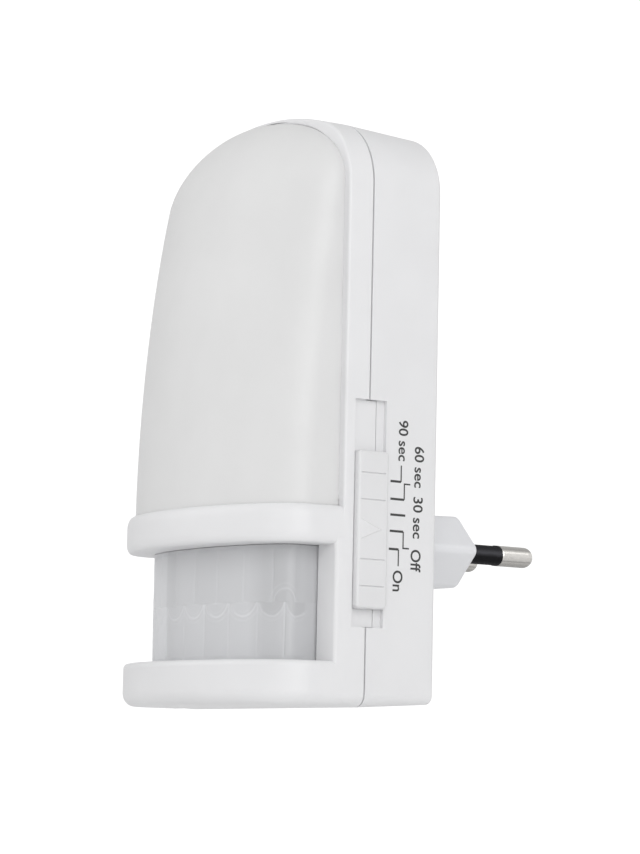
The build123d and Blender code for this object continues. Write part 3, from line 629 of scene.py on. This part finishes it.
def channel_cutter():
    """Solid that opens the switch channel in the shells' right side."""
    return channel_box((CHANNEL_FLOOR, 32), CHANNEL_Y, 0)


def screw_rods(front_y, back_y, radius):
    """Two round bars round the lines of the case screws, from front to back."""
    turn = np.linspace(0, 2 * math.pi, 40, endpoint=False)
    rods = []
    for side in (-1, 1):
        circle = np.stack([side * SCREW_X + radius * np.cos(turn),
                           BOTTOM + SCREW_HEIGHT + radius * np.sin(turn)], -1)
        rods.append(ring_solid("rod", [upright(circle, front_y), upright(circle, back_y)]))
    return rods


class NIGHTLIGHT_OT_rear_case(bpy.types.Operator):
    """Back box with a rounded rear edge, lap ring, screw bosses and plug opening"""
    bl_idname = "night_light.rear_case"
    bl_label = "Rear case"

    def execute(self, context):
        sizes = context.scene.night_light_sizes
        seam = SEAM_Y + SEAM_GAP / 2
        back_inset = side_inset(BACK_Y)
        inner_back = BACK_Y - 1.6
        outside = rounded(
            [(0.8, seam), (0, seam), (back_inset, BACK_Y), (8, BACK_Y)],
            [0.1, sizes.back_round], steps=8)
        inside = rounded(
            [(8, inner_back), (1.25 + side_inset(inner_back), inner_back), (1.7, seam),
             (1.6, seam - 1.6), (0.8, seam - 1.6), (0.8, seam)],
            [1.0, 0.05, 0.15, 0.15], steps=5)
        profile = np.concatenate([inside[:-1], outside])
        rings = [upright(case_outline(inset), y) for inset, y in profile]
        case = ring_solid("rear_case_shell", rings)
        backing = channel_box(CHANNEL_WALL, (-32.25, -29.36), 1.2)
        notch = channel_box((27.3, 29.32), (-36.5, -34.24), 1.35)
        tongue = channel_box((27.3, 32), (-36.5, -32.22), 0.02)
        hole = plug_outline(0.42)
        opening = ring_solid("opening", [upright(hole, y) for y in (-21.5, BACK_Y + 1)])
        carve(case, add=[backing, *screw_rods(-34.15, inner_back + 0.5, 3.3)],
              cut=[channel_cutter(), notch, tongue, *screw_rods(-29.0, BACK_Y + 1, 2.35),
                   *screw_rods(-36.5, -28, 1.3), opening])
        finish(case, "housing", ["rear_case"], "housing_white")
        return {"FINISHED"}


class NIGHTLIGHT_OT_front_case(bpy.types.Operator):
    """Front shell: arched rim, two bowed collars, sensor pillars and the switch tongue"""
    bl_idname = "night_light.front_case"
    bl_label = "Front case"

    def execute(self, context):
        sizes = context.scene.night_light_sizes
        seam = SEAM_Y - SEAM_GAP / 2
        rim_inset = side_inset(RIM_Y)
        outside = rounded([(0.7, seam), (side_inset(seam), seam), (rim_inset, RIM_Y),
                           (rim_inset + 1.0, RIM_Y)], [0.1, sizes.rim_round], steps=7)
        rings = [upright(raised(case_outline(inset), side_inset(y)), y)
                 for inset, y in outside[:-1]]
        opening = rounded([(-0.5, RIM_Y), (0, RIM_Y), (0, LIP_Y)], [0.28], steps=5, guard=0.05)
        crown = np.clip((25.0 - np.abs(case_outline(0)[:, 0])) / 8.0, 0.05, 1)
        rings += [upright(dome_outline((sizes.dome_gap - lift) * crown), y)
                  for lift, y in opening[1:]]
        inside = [(1.25, LIP_Y), (1.25, seam - 1.75), (0.7, seam - 1.7)]
        rings += [upright(case_outline(inset), y) for inset, y in inside]
        case = ring_solid("front_case_shell", rings, closed=True)

        side = HALF_WIDTH - side_inset(-40.8) - 0.006
        wide = HALF_WIDTH - side_inset(-38.6) - 0.006
        pillar = rounded([(-5, -38.6), (wide, -38.6), (side, -40.8), (0, -40.8)],
                         [0.05, sizes.pillar_round])[1:]
        pillar = np.concatenate([pillar, pillar[::-1] * (-1, 1)])
        pillars = ring_solid("pillars", [np.column_stack([pillar, np.full(len(pillar), z)])
                                         for z in (BOTTOM + 6.5, BOTTOM + 30)])
        low = [(6.0, 0.0), (2.6, 0.0), *oval((2.4, 0.0), (0.0, 2.5), 8), (0.0, 2.9),
               (0.0, 6.8), *oval((0.9, WINDOW_FOOT), (0.0, 7.0), 6)[::-1], (1.2, WINDOW_FOOT),
               (6.0, WINDOW_FOOT)]
        low_collar = ring_solid("low_collar", [collar_ring(inset, height) for inset, height in low])
        foot, top = WINDOW_TOP, 35.7
        mid = [(6.0, foot), (1.2, foot), *oval((1.0, foot), (0.0, 30.6), 7), (0.0, 31.2),
               (0.0, 33.0), *oval((1.2, top), (0.0, 33.4), 8)[::-1], (1.3, top), (6.0, top)]
        mid_collar = ring_solid("mid_collar", [collar_ring(inset, height) for inset, height in mid])
        tongues = [channel_box(CHANNEL_WALL, (-38.5, seam), 1.2),
                   channel_box(CHANNEL_WALL, (-37.6, -32.35), -0.1)]
        seat = ring_solid("seat", [dome_section(DOME_SEAT + 0.25, z, -0.22, back=-38.0)
                                   for z in (BOTTOM + DOME_SEAT - 0.15, BOTTOM + 37)])
        hollow = ring_solid("hollow", [collar_ring(4.2, height, -37.6) for height in (30.3, 35.0)])
        window = box_solid((-WINDOW_HALF, -42, BOTTOM + WINDOW_FOOT),
                           (WINDOW_HALF, -37, BOTTOM + WINDOW_TOP))
        slot = box_solid((26.5, -34.95, KNOB_LOW[2] + 9.45), (30, -33.25, KNOB_LOW[2] + 24.95))
        carve(case, add=[pillars, low_collar, mid_collar, *tongues, *screw_rods(-40.0, seam, 2.2)],
              cut=[window, seat, hollow, channel_cutter(), slot, *screw_rods(-43, -33, 1.12)])
        finish(case, "housing", ["front_case"], "housing_white")
        return {"FINISHED"}


def oval(start, end, steps):
    """Quarter ellipse in (inset, height) from a point on a level face to one on the wall."""
    turn = np.linspace(0, math.pi / 2, steps)
    inset = start[0] - (start[0] - end[0]) * np.sin(turn)
    height = start[1] + (end[1] - start[1]) * (1 - np.cos(turn))
    return list(zip(inset, height))


def dome_shape(height, wall):
    """Half width, flank and bow of the dome at a height, thinner by a wall.

    share = (1 - rise ** 2.06) ** (1 / 2.2), rise running from 0 at the dome's foot to 1 at
    its top; flank = full flank share ** 4, flank and bow together are full depth share, and
    the half width follows the arch of the opening.
    """
    top = DOME_TOP - wall
    rise = np.clip((height - DOME_FOOT) / (top - DOME_FOOT), 0, 1)
    share = (1 - rise ** 2.06) ** (1 / 2.2)
    flank = DOME_FLANK * share ** 4
    lift = np.clip((height - DOME_SPRING) / (top - DOME_SPRING), 0, 1)
    half = (DOME_HALF - wall) * (1 - lift ** ARCH_POWER) ** (1 / ARCH_POWER)
    depth = (DOME_DEPTH - max(wall, 0)) * share
    return half, np.minimum(flank, depth * 0.9), depth


def dome_section(height, z, wall, back):
    """Closed plan ring of the dome at a height, placed at z."""
    half, flank, depth = dome_shape(height, wall)
    plan = bow_plan(float(half), RIM_Y - float(flank), float(depth - flank), back)
    return np.column_stack([plan, np.full(len(plan), z)])


def dome_sheet(wall, rows=130, columns=120, back=-37.0):
    """Sheet of the dome as a grid (row, column): rows climb, columns go round the plan."""
    climb = np.sin(np.linspace(0, math.pi / 2, rows))[:, None]
    height = DOME_SEAT + (DOME_TOP - wall - DOME_SEAT) * climb
    half, flank, depth = dome_shape(height, wall)
    turn = np.linspace(-math.pi / 2, math.pi / 2, columns)[None, :]
    bow_x, bow_y = half * np.sin(turn), RIM_Y - flank - (depth - flank) * np.cos(turn)
    down = np.linspace(0, 1, 5)[None, :-1]
    flank_y = RIM_Y - flank * down
    root_y = np.broadcast_to(np.array([back, back - 0.8, RIM_Y + 0.2])[None, :], (rows, 3))
    side_y = np.concatenate([root_y, flank_y], 1)
    side_x = np.broadcast_to(half, side_y.shape)
    x = np.concatenate([-side_x, bow_x, side_x], 1)
    y = np.concatenate([side_y, bow_y, side_y[:, ::-1]], 1)
    z = np.broadcast_to(BOTTOM + height, x.shape)
    return np.stack([x, y, z], -1)


def double_sheet(name, outer, inner):
    """Closed thin solid between two sheets of the same grid, joined along their edges."""
    rows, columns = outer.shape[:2]
    rim = rows * columns
    points = np.concatenate([outer.reshape(-1, 3), inner.reshape(-1, 3)])
    sheet = strip_faces(rows, columns, around=False)
    index = np.arange(rim).reshape(rows, columns)
    edges = [index[0], index[-1], index[:, 0], index[:, -1]]
    joins = [np.stack([edge[:-1], edge[1:], edge[1:] + rim, edge[:-1] + rim], -1) for edge in edges]
    return new_object(name, points, np.concatenate([sheet, sheet[:, ::-1] + rim, *joins]))


class NIGHTLIGHT_OT_diffuser(bpy.types.Operator):
    """Milky dome of even wall that leans into the arched rim"""
    bl_idname = "night_light.diffuser"
    bl_label = "Diffuser"

    def execute(self, context):
        wall = context.scene.night_light_sizes.dome_wall
        outer, inner = dome_sheet(0.0), dome_sheet(wall)
        dome = double_sheet("diffuser_dome", outer, inner)
        finish(dome, "housing", ["diffuser"], "diffuser_white", sharp=50)
        return {"FINISHED"}


def lens_zones(along, height):
    """Cushion, groove, rings and tone value of the lens at (along, height).

    Zones are counted along the lens, one to 7.3 mm and narrower past 18 mm from its middle:
    count = along / 7.3 + 0.0072 (|along| - 18) ** 2 outwards. The upper row lies half a zone
    aside. A cushion is 1 - across ** 2, across running from -1 to 1 over a zone. Grooves run
    between zones. Rings are half circles: they hang from the middle line in each lower zone
    and one stands on it near either end of the upper row. The tone value steps from zone to zone,
    with lighter rings and grooves, a lighter lower row and slightly darker bowls. Towards the
    switch side the zones, the upper row and the bowls grow darker: painted shade of the pillar
    beside the lens. The far end away from the switch is much lighter: a painted reflection.
    """
    far = np.clip(np.abs(along) - 18, 0, 8)
    number = along / ZONE_WIDTH + np.sign(along) * 0.0072 * far ** 2
    lower = height < ZONE_MIDDLE
    phase = number + np.where(lower, 0.0, 0.5)
    across = (phase - np.round(phase)) * 2
    cushion = 1 - across ** 2
    groove = np.exp(-((1 - np.abs(across)) * ZONE_WIDTH / 2 / 0.2) ** 2)
    hanging = np.hypot(across * ZONE_WIDTH / 2, height - 19.3)
    standing = np.hypot((np.abs(number) - 3.5) * ZONE_WIDTH * 0.8, height - 18.3)
    rings, bowl = 0, 0
    for radius, inside, sizes in ((hanging, lower, ((3.5, 1.0), (2.75, 0.25), (4.3, 0.3))),
                                  (standing, ~lower, ((2.5, 1.0), (1.7, 0.3), (3.4, 0.4)))):
        for size, weight in sizes:
            rings = rings + inside * weight * np.exp(-((radius - size) / 0.2) ** 2)
        bowl = bowl + inside * np.clip((sizes[0][0] - radius) / 0.25, 0, 1)
    ends = np.clip((28.6 - np.abs(along)) / 0.8, 0, 1)
    ends = ends * np.clip((height - 8.4) / 0.5, 0, 1) * np.clip((28.4 - height) / 0.5, 0, 1)
    groove, rings, bowl = (np.clip(part, 0, 1) * ends for part in (groove, rings, bowl))

    step = np.round(phase)
    # Painted shade: zones near the switch side grow darker, where the pillar shades the lens.
    side = np.clip((number - 2.2) / 0.5, 0, 1)
    zone_tone_and_painted_light = 0.50 + 0.04 * np.cos(2.4 * step) + 0.12 * lower * (1 - side) - 0.24 * side
    zone_tone_and_painted_light = zone_tone_and_painted_light - 0.16 * np.clip((phase - 2.5) / 0.8, 0, 1) * ~lower
    # Painted reflection: the far end away from the switch is much lighter.
    zone_tone_and_painted_light = zone_tone_and_painted_light + 0.42 * np.clip((-number - 1.5) / 0.1, 0, 1)
    zone_tone_and_painted_light = zone_tone_and_painted_light - 0.12 * np.exp(-((number + 1.15) / 0.3) ** 2)
    zone_tone_and_painted_light = zone_tone_and_painted_light + 0.28 * rings + 0.13 * groove - (0.05 + 0.22 * side) * bowl
    return cushion * ends, groove, rings, np.clip(zone_tone_and_painted_light, 0, 1)


def lens_path(inset, count):
    """Plan of the lens: a flank, half an ellipse and a flank, and the length along it."""
    half, depth = LENS_HALF - inset, LENS_BOW - inset
    turn = np.linspace(-math.pi / 2, math.pi / 2, count)
    bow = np.stack([half * np.sin(turn), BOW_Y - depth * np.cos(turn)], -1)
    flank_y = np.linspace(LIP_Y + 0.1, BOW_Y, 14)[:-1]
    left = np.stack([np.full(13, -half), flank_y], -1)
    plan = np.concatenate([left, bow, left[::-1] * (-1, 1)])
    steps = np.hypot(*np.diff(plan, axis=0).T)
    along = np.concatenate([[0], np.cumsum(steps)])
    return plan, along - along[-1] / 2


class NIGHTLIGHT_OT_sensor_lens(bpy.types.Operator):
    """Bowed milky lens with two rows of moulded zones"""
    bl_idname = "night_light.sensor_lens"
    bl_label = "Sensor lens"

    def execute(self, context):
        sizes = context.scene.night_light_sizes
        rows, count = 150, 300
        rise = LENS_TOP - LENS_FOOT
        height = np.linspace(LENS_FOOT, LENS_TOP, rows)[:, None]
        cushion, groove, rings, zone_tone_and_painted_light = lens_zones(lens_path(0.0, count)[1][None, :], height)
        relief = (sizes.facet_rise * cushion - sizes.facet_groove * groove
                  + 0.8 * sizes.facet_groove * rings)
        sheets = []
        for inset, out in ((0.0, relief), (LENS_WALL, 0 * relief)):
            plan = lens_path(inset, count)[0]
            normal = np.gradient(plan, axis=0)[:, ::-1] * (1, -1)
            normal /= np.linalg.norm(normal, axis=1)[:, None]
            x = plan[None, :, 0] + out * normal[None, :, 0]
            y = plan[None, :, 1] + out * normal[None, :, 1]
            x = x * (1 - sizes.lens_taper * (LENS_TOP - height) / rise / LENS_HALF)
            z = np.broadcast_to(BOTTOM + height, x.shape)
            sheets.append(np.stack([x, y, z], -1))
        lens = double_sheet("sensor_lens", *sheets)
        finish(lens, "housing", ["pir_lens"], "lens_white", sharp=60)
        place = coordinates(lens.data) / MM
        row = (place[:, 2] - BOTTOM - LENS_FOOT) / rise * (rows - 1)
        near_row = np.clip(np.round(row), 0, rows - 1).astype(int)
        front = plan_position(place[:, 0], place[:, 1], sheets[0][0, :, :2])
        # The lens's points carry the tone value, painted shade and painted reflection included.
        tone = lens.data.attributes.new("zone_tone_and_painted_light", "FLOAT", "POINT")
        tone.data.foreach_set("value", zone_tone_and_painted_light[near_row, front])
        return {"FINISHED"}


def plan_position(x, y, plan):
    """Index of the nearest point of a plan for each (x, y), found by its angle round a middle."""
    middle = np.array([0.0, -36.0])
    turn = np.arctan2(plan[:, 0] - middle[0], middle[1] - plan[:, 1])
    order = np.argsort(turn)
    here = np.arctan2(x - middle[0], middle[1] - y)
    return order[np.clip(np.searchsorted(turn[order], here), 0, len(plan) - 1)]


def round_plate(half_y, half_z, middle, radius):
    """Rounded rectangle (y, z) round a middle, anticlockwise."""
    parts = []
    for turn, sy, sz in ((0, 1, 1), (90, -1, 1), (180, -1, -1), (270, 1, -1)):
        centre = (middle[0] + sy * (half_y - radius), middle[1] + sz * (half_z - radius))
        parts.append(arc_points(centre, radius, turn, 90, 8))
    return np.concatenate(parts)


class NIGHTLIGHT_OT_switch_knob(bpy.types.Operator):
    """Slide knob with softened edges, four grip lines and a raised pointer"""
    bl_idname = "night_light.switch_knob"
    bl_label = "Switch knob"

    def execute(self, context):
        sizes = context.scene.night_light_sizes
        front, back, face = KNOB_FRONT, KNOB_BACK, KNOB_FACE
        middle = ((front + back) / 2, float(KNOB_LOW[2] + KNOB_HIGH[2]) / 2)
        base = CHANNEL_FLOOR + 0.15
        profile = rounded([(0, base), (0, face), (3, face)], [0.5], steps=7)
        rings = []
        for inset, x in profile[:-1]:
            plate = round_plate((back - front) / 2 - inset, KNOB_HALF_HEIGHT - inset, middle,
                                max(0.75 - inset, 0.1))
            rings.append(np.column_stack([np.full(len(plate), x), plate]))
        knob = ring_solid("slide_knob", rings)
        stem = box_solid((25.5, -34.8, middle[1] - 1.5), (base + 0.35, -33.4, middle[1] + 1.5))
        tip = [(front + 0.6, middle[1] - 1.85), (back - 1.5, middle[1]),
               (front + 0.6, middle[1] + 1.85)]
        centre = np.mean(tip, axis=0)
        pointer = ring_solid("pointer", [
            [(x, *(centre + (np.array(corner) - centre) * share)) for corner in tip]
            for x, share in ((face - 0.2, 1.1), (face - 0.01, 1.06), (face + 0.15, 0.86))])
        depth, above, grooves = face - sizes.groove_depth, face + 0.4, []
        for z in (middle[1] + line for line in GRIP_LINES):
            grooves.append(ring_solid("groove", [
                [(depth, y, z), (above, y, z + 0.36), (above, y, z - 0.36)]
                for y in (front + 0.6, back - 0.75)]))
        carve(knob, add=[stem, pointer], cut=grooves)
        finish(knob, "switch", ["switch_knob"], "housing_white", "knob_white")
        return {"FINISHED"}


def plug_outline(shrink):
    """Flat hexagon of the plug body (x, z) with rounded corners, shrunk all round."""
    wide, tall = PLUG_HALF_WIDTH - shrink, PLUG_HALF_HEIGHT - shrink
    corners = [(0, tall), (-PLUG_SHOULDER, tall), (-wide, 0), (-PLUG_SHOULDER, -tall), (0, -tall)]
    left = rounded(corners, [2.2, 1.3, 2.2], steps=8, guard=0.3)
    return np.concatenate([left[:-1], (left * (-1, 1))[::-1][:-1]])


def plug_flange():
    """Soft rectangle |x / half width| ** 12 + |z / half height| ** 12 = 1 inside the case."""
    half_width, half_height, power = 21.5, 10.0, 12
    turn = np.arctan2(*plug_outline(0).T[::-1])
    across, up = np.cos(turn), np.sin(turn)
    reach = (np.abs(across / half_width) ** power
             + np.abs(up / half_height) ** power) ** (-1 / power)
    return np.stack([reach * across, reach * up], -1)


class NIGHTLIGHT_OT_plug(bpy.types.Operator):
    """Flat plug body that widens to its face, its pins and their sleeves"""
    bl_idname = "night_light.plug"
    bl_label = "Plug"

    def execute(self, context):
        spread_x = context.scene.night_light_sizes.pin_spread / 2
        flange = plug_flange()
        rings = [upright(flange * 0.9, -22.7), upright(flange, -22.7), upright(flange, -20.15)]
        outline = rounded([(0.5, -20.0), (0.0, 0.0), (4.0, 0.0)], [0.7], steps=7)
        rings += [upright(plug_outline(shrink), y) for shrink, y in outline]
        body = ring_solid("plug_body_shell", rings)
        finish(body, "housing", ["plug_body"], "plug_white")
        pin = [(-23.8, 1.3), (-16.0, 1.3), (-16.0, 2.5), (-13.0, 2.5), (-13.0, 1.6),
               (10.75, 1.6), (10.75, 1.9), (10.88, PIN_RADIUS), (PIN_LENGTH - 0.1, PIN_RADIUS)]
        pin += [(PIN_LENGTH + PIN_RADIUS * math.sin(t), PIN_RADIUS * math.cos(t))
                for t in np.linspace(0, 1.5, 12)]
        hose = [(-0.3, 1.62), (-0.3, 1.88), (9.6, 1.88), (9.85, 1.98), (10.5, 1.99),
                (10.68, 1.93), (10.72, 1.8), (10.72, 1.62)]
        for side, word in ((-1, "left"), (1, "right")):
            lean = np.array([-side * PIN_LEAN, 0.999581, 0])
            base = np.array([side * spread_x, 0, 0])
            shaft = turned(f"pin_{word}_shaft", base, lean, pin)
            finish(shaft, "housing", [f"pin_{word}"], "pin_nickel")
            sleeve = turned(f"sleeve_{word}_tube", base, lean, hose, closed=True)
            finish(sleeve, "housing", [f"sleeve_{word}"], "sleeve_black", sharp=40)
        return {"FINISHED"}


def turned(name, base, axis, profile, closed=False, count=48):
    """Turned piece: each (distance, radius) is a circle round the axis from the base."""
    beside = np.array([axis[1], -axis[0], 0.0])
    above = np.array([0.0, 0.0, 1.0])
    turn = np.linspace(0, 2 * math.pi, count, endpoint=False)[:, None]
    rings = [base + axis * far + radius * (np.cos(turn) * beside + np.sin(turn) * above)
             for far, radius in profile]
    return ring_solid(name, rings, closed=closed)


def on_side(y, z, lift):
    """Places (y, z) on the drafted right side of the rear case, lifted off it."""
    x = HALF_WIDTH - REAR_SLOPE * (y - SEAM_Y) + lift
    return np.stack([x, y, z], -1)


def label_mesh(text, y_low, y_high, h_top, h_low, lift):
    """Lettering that reads downwards with its tops to the rear, fitted to a frame."""
    curve = bpy.data.curves.new("lettering", "FONT")
    curve.body = text
    curve.size = 1.0
    curve.extrude = 0.02
    curve.offset = 0.014
    curve.resolution_u = 6
    helper = linked("lettering", curve)
    mesh = settled_mesh(helper)
    bpy.data.objects.remove(helper)
    points = coordinates(mesh)
    low, high = points.min(0), points.max(0)
    share = (points - low) / (high - low)
    y = y_low + share[:, 1] * (y_high - y_low)
    z = BOTTOM + h_top - share[:, 0] * (h_top - h_low)
    placed = on_side(y, z, (share[:, 2] * 2 - 1) * lift) * MM
    mesh.vertices.foreach_set("co", placed.ravel())
    mesh.update()
    tidy_mesh(mesh)
    return linked("lettering_" + text.replace(" ", "_"), mesh)


def mark_solid(start, end, width, lift):
    """Flat bar of the scale between two (y, height) points along Y or Z."""
    (y0, h0), (y1, h1) = start, end
    half = width / 2
    if h0 == h1:
        y, z = (min(y0, y1), max(y0, y1)), (BOTTOM + h0 - half, BOTTOM + h0 + half)
    else:
        y, z = (y0 - half, y0 + half), (BOTTOM + min(h0, h1), BOTTOM + max(h0, h1))
    corners = np.array([(y[0], z[0]), (y[1], z[0]), (y[1], z[1]), (y[0], z[1])])
    rings = [on_side(corners[:, 0], corners[:, 1], up) for up in (-lift, lift)]
    return ring_solid("mark", rings)


class NIGHTLIGHT_OT_scale(bpy.types.Operator):
    """Printed time scale beside the switch: marks, leader lines and lettering"""
    bl_idname = "night_light.scale"
    bl_label = "Printed scale"

    def execute(self, context):
        sizes = context.scene.night_light_sizes
        lift, heavy, thin = sizes.print_height, sizes.mark_width, sizes.line_width
        marks = [(40.8, -29.4, -26.97), (37.6, -29.35, -26.2), (34.75, -29.3, -25.85),
                 (31.8, -29.36, -26.28), (28.55, -29.5, -27.27)]
        parts = [mark_solid((y0, h), (y1, h), heavy, lift) for h, y0, y1 in marks]
        leaders = [((-26.96, 40.8), (-26.96, 43.77)), ((-26.17, 37.6), (-26.17, 40.58)),
                   ((-26.3, 40.45), (-24.82, 40.45)), ((-26.24, 31.8), (-26.24, 28.69)),
                   ((-26.37, 28.82), (-24.87, 28.82)), ((-27.28, 28.55), (-27.28, 25.53))]
        parts += [mark_solid(start, end, thin, lift * 0.98) for start, end in leaders]
        scale = merged("switch_scale_marks", parts)
        finish(scale, "housing", [], "component_black", "scale_ink")
        words = [("90 sec", -27.7, -25.5, 52.0, 44.57), ("60 sec", -23.9, -21.66, 47.5, 40.0),
                 ("30 sec", -24.05, -21.82, 38.3, 30.76), ("Off", -24.46, -22.1, 28.73, 24.7),
                 ("On", -28.5, -26.23, 24.75, 20.97)]
        letters = merged("switch_scale_lettering",
                         [label_mesh(*word, lift) for word in words])
        finish(letters, "housing", [], "component_black", "scale_ink")
        return {"FINISHED"}


class NIGHTLIGHT_OT_inner_parts(bpy.types.Operator):
    """Finishes of the carried-over parts inside the case"""
    bl_idname = "night_light.inner_parts"
    bl_label = "Inner parts"

    def execute(self, context):
        made = finishes()
        for part in frame["record"]["subparts"]:
            node = frame["nodes"][part["node"]]
            node.data.materials.clear()
            node.data.materials.append(made[part["material_slot"]])
        return {"FINISHED"}


def add_floor(tone):
    """Round pale floor under the object."""
    corners, reach, drop = 96, 2.0, -0.125
    turn = np.linspace(0, 2 * math.pi, corners, endpoint=False)
    points = np.stack([reach * np.cos(turn), reach * np.sin(turn), np.full(corners, drop)], -1)
    mesh = bpy.data.meshes.new("studio_floor")
    mesh.from_pydata(points.tolist(), [], [list(range(corners))])
    floor = linked("studio_floor", mesh)
    material, tree, shader = shade_tree("studio_floor")
    fill(tree, shader, [("Roughness", 0.8)],
         [("Base Color", mottled(tree, noise(tree, 400.0, 1.0), tone, (-0.01, 0.0)))])
    mesh.materials.append(material)


def add_world(scene):
    """Even white light all round, with one soft brighter patch behind the object."""
    world = bpy.data.worlds.new("soft_studio")
    scene.world = world
    world.use_nodes = True
    tree = world.node_tree
    place = add_node(tree, "TexCoord").outputs["Generated"]
    toward = add_node(tree, "VectorMath", [(1, GLOW_AIM)], [(0, place)], operation="DOT_PRODUCT")
    soft = add_node(tree, "MapRange",
                    [("From Min", GLOW_START), ("From Max", GLOW_END), ("To Max", GLOW_RISE)],
                    [("Value", toward.outputs["Value"])], interpolation_type="SMOOTHSTEP")
    total = add_node(tree, "Math", [(1, WORLD_BASE)], [(0, soft.outputs["Result"])],
                     operation="ADD")
    fill(tree, node_of(tree, "BACKGROUND"), [("Color", (1, 1, 1, 1))],
         [("Strength", total.outputs["Value"])])


def add_lamp(name, place, size, power):
    """Square area lamp in metres and watts that looks at the object's middle."""
    light = bpy.data.lights.new(name, "AREA")
    light.size, light.energy = size, power
    lamp = linked(name, light)
    lamp.location = place
    aim = Vector((0, -0.03, 0.02)) - lamp.location
    lamp.rotation_euler = aim.to_track_quat("-Z", "Y").to_euler()


def add_camera(scene):
    """Camera turned by yaw, pitch and roll, at a distance from the point it looks at."""
    yaw, pitch, roll = (math.radians(angle) for angle in (56.130, 6.634, 1.232))
    ahead = Vector((-math.sin(yaw) * math.cos(pitch), math.cos(yaw) * math.cos(pitch),
                    math.sin(pitch)))
    level_right = Vector((math.cos(yaw), math.sin(yaw), 0))
    level_up = level_right.cross(ahead)
    right = level_right * math.cos(roll) + level_up * math.sin(roll)
    up = level_up * math.cos(roll) - level_right * math.sin(roll)
    aim, far = Vector((7.4444, -30.0, 21.8105)), 555.843
    turn = Matrix((right, up, -ahead)).transposed().to_4x4()
    view = bpy.data.cameras.new("camera")
    view.lens, view.sensor_width, view.clip_start = 125.53, 36.0, 0.01
    scene.camera = linked("camera", view)
    scene.camera.matrix_world = Matrix.Translation((aim - ahead * far) * MM) @ turn


class NIGHTLIGHT_OT_stage(bpy.types.Operator):
    """Pale floor, soft studio light and the camera"""
    bl_idname = "night_light.stage"
    bl_label = "Stage"

    def execute(self, context):
        add_floor(context.scene.night_light_colours.floor)
        add_world(context.scene)
        add_lamp("key", (1.05, -0.50, 0.40), 0.8, 5.4)
        add_lamp("fill", (-0.80, -0.90, 0.60), 0.9, 3.2)
        add_lamp("glint", (0.65, 0.564, 0.535), 0.2, 0.15)
        add_camera(context.scene)
        context.scene.view_settings.view_transform = "Standard"
        return {"FINISHED"}


class NIGHTLIGHT_PT_panel(bpy.types.Panel):
    """Sizes, colours and building steps of the night light"""
    bl_idname = "NIGHTLIGHT_PT_panel"
    bl_label = "Night Light"
    bl_space_type = "VIEW_3D"
    bl_region_type = "UI"
    bl_category = "Night Light"

    def draw(self, context):
        for group in (context.scene.night_light_sizes, context.scene.night_light_colours):
            box = self.layout.box()
            for name in group.__annotations__:
                box.prop(group, name)
        for operator in OPERATORS:
            self.layout.operator(operator.bl_idname)


OPERATORS = (
    NIGHTLIGHT_OT_inner_parts,
    NIGHTLIGHT_OT_rear_case,
    NIGHTLIGHT_OT_front_case,
    NIGHTLIGHT_OT_diffuser,
    NIGHTLIGHT_OT_sensor_lens,
    NIGHTLIGHT_OT_switch_knob,
    NIGHTLIGHT_OT_plug,
    NIGHTLIGHT_OT_scale,
    NIGHTLIGHT_OT_stage,
)
CLASSES = (NightLightSizes, NightLightColours, *OPERATORS, NIGHTLIGHT_PT_panel)


def register():
    for item in CLASSES:
        bpy.utils.register_class(item)
    bpy.types.Scene.night_light_sizes = PointerProperty(type=NightLightSizes)
    bpy.types.Scene.night_light_colours = PointerProperty(type=NightLightColours)


def unregister():
    del bpy.types.Scene.night_light_colours
    del bpy.types.Scene.night_light_sizes
    for item in reversed(CLASSES):
        bpy.utils.unregister_class(item)


def main():
    """Builds every piece."""
    register()
    for operator in OPERATORS:
        group, name = operator.bl_idname.split(".")
        getattr(getattr(bpy.ops, group), name)()


if __name__ == "__main__":
    main()
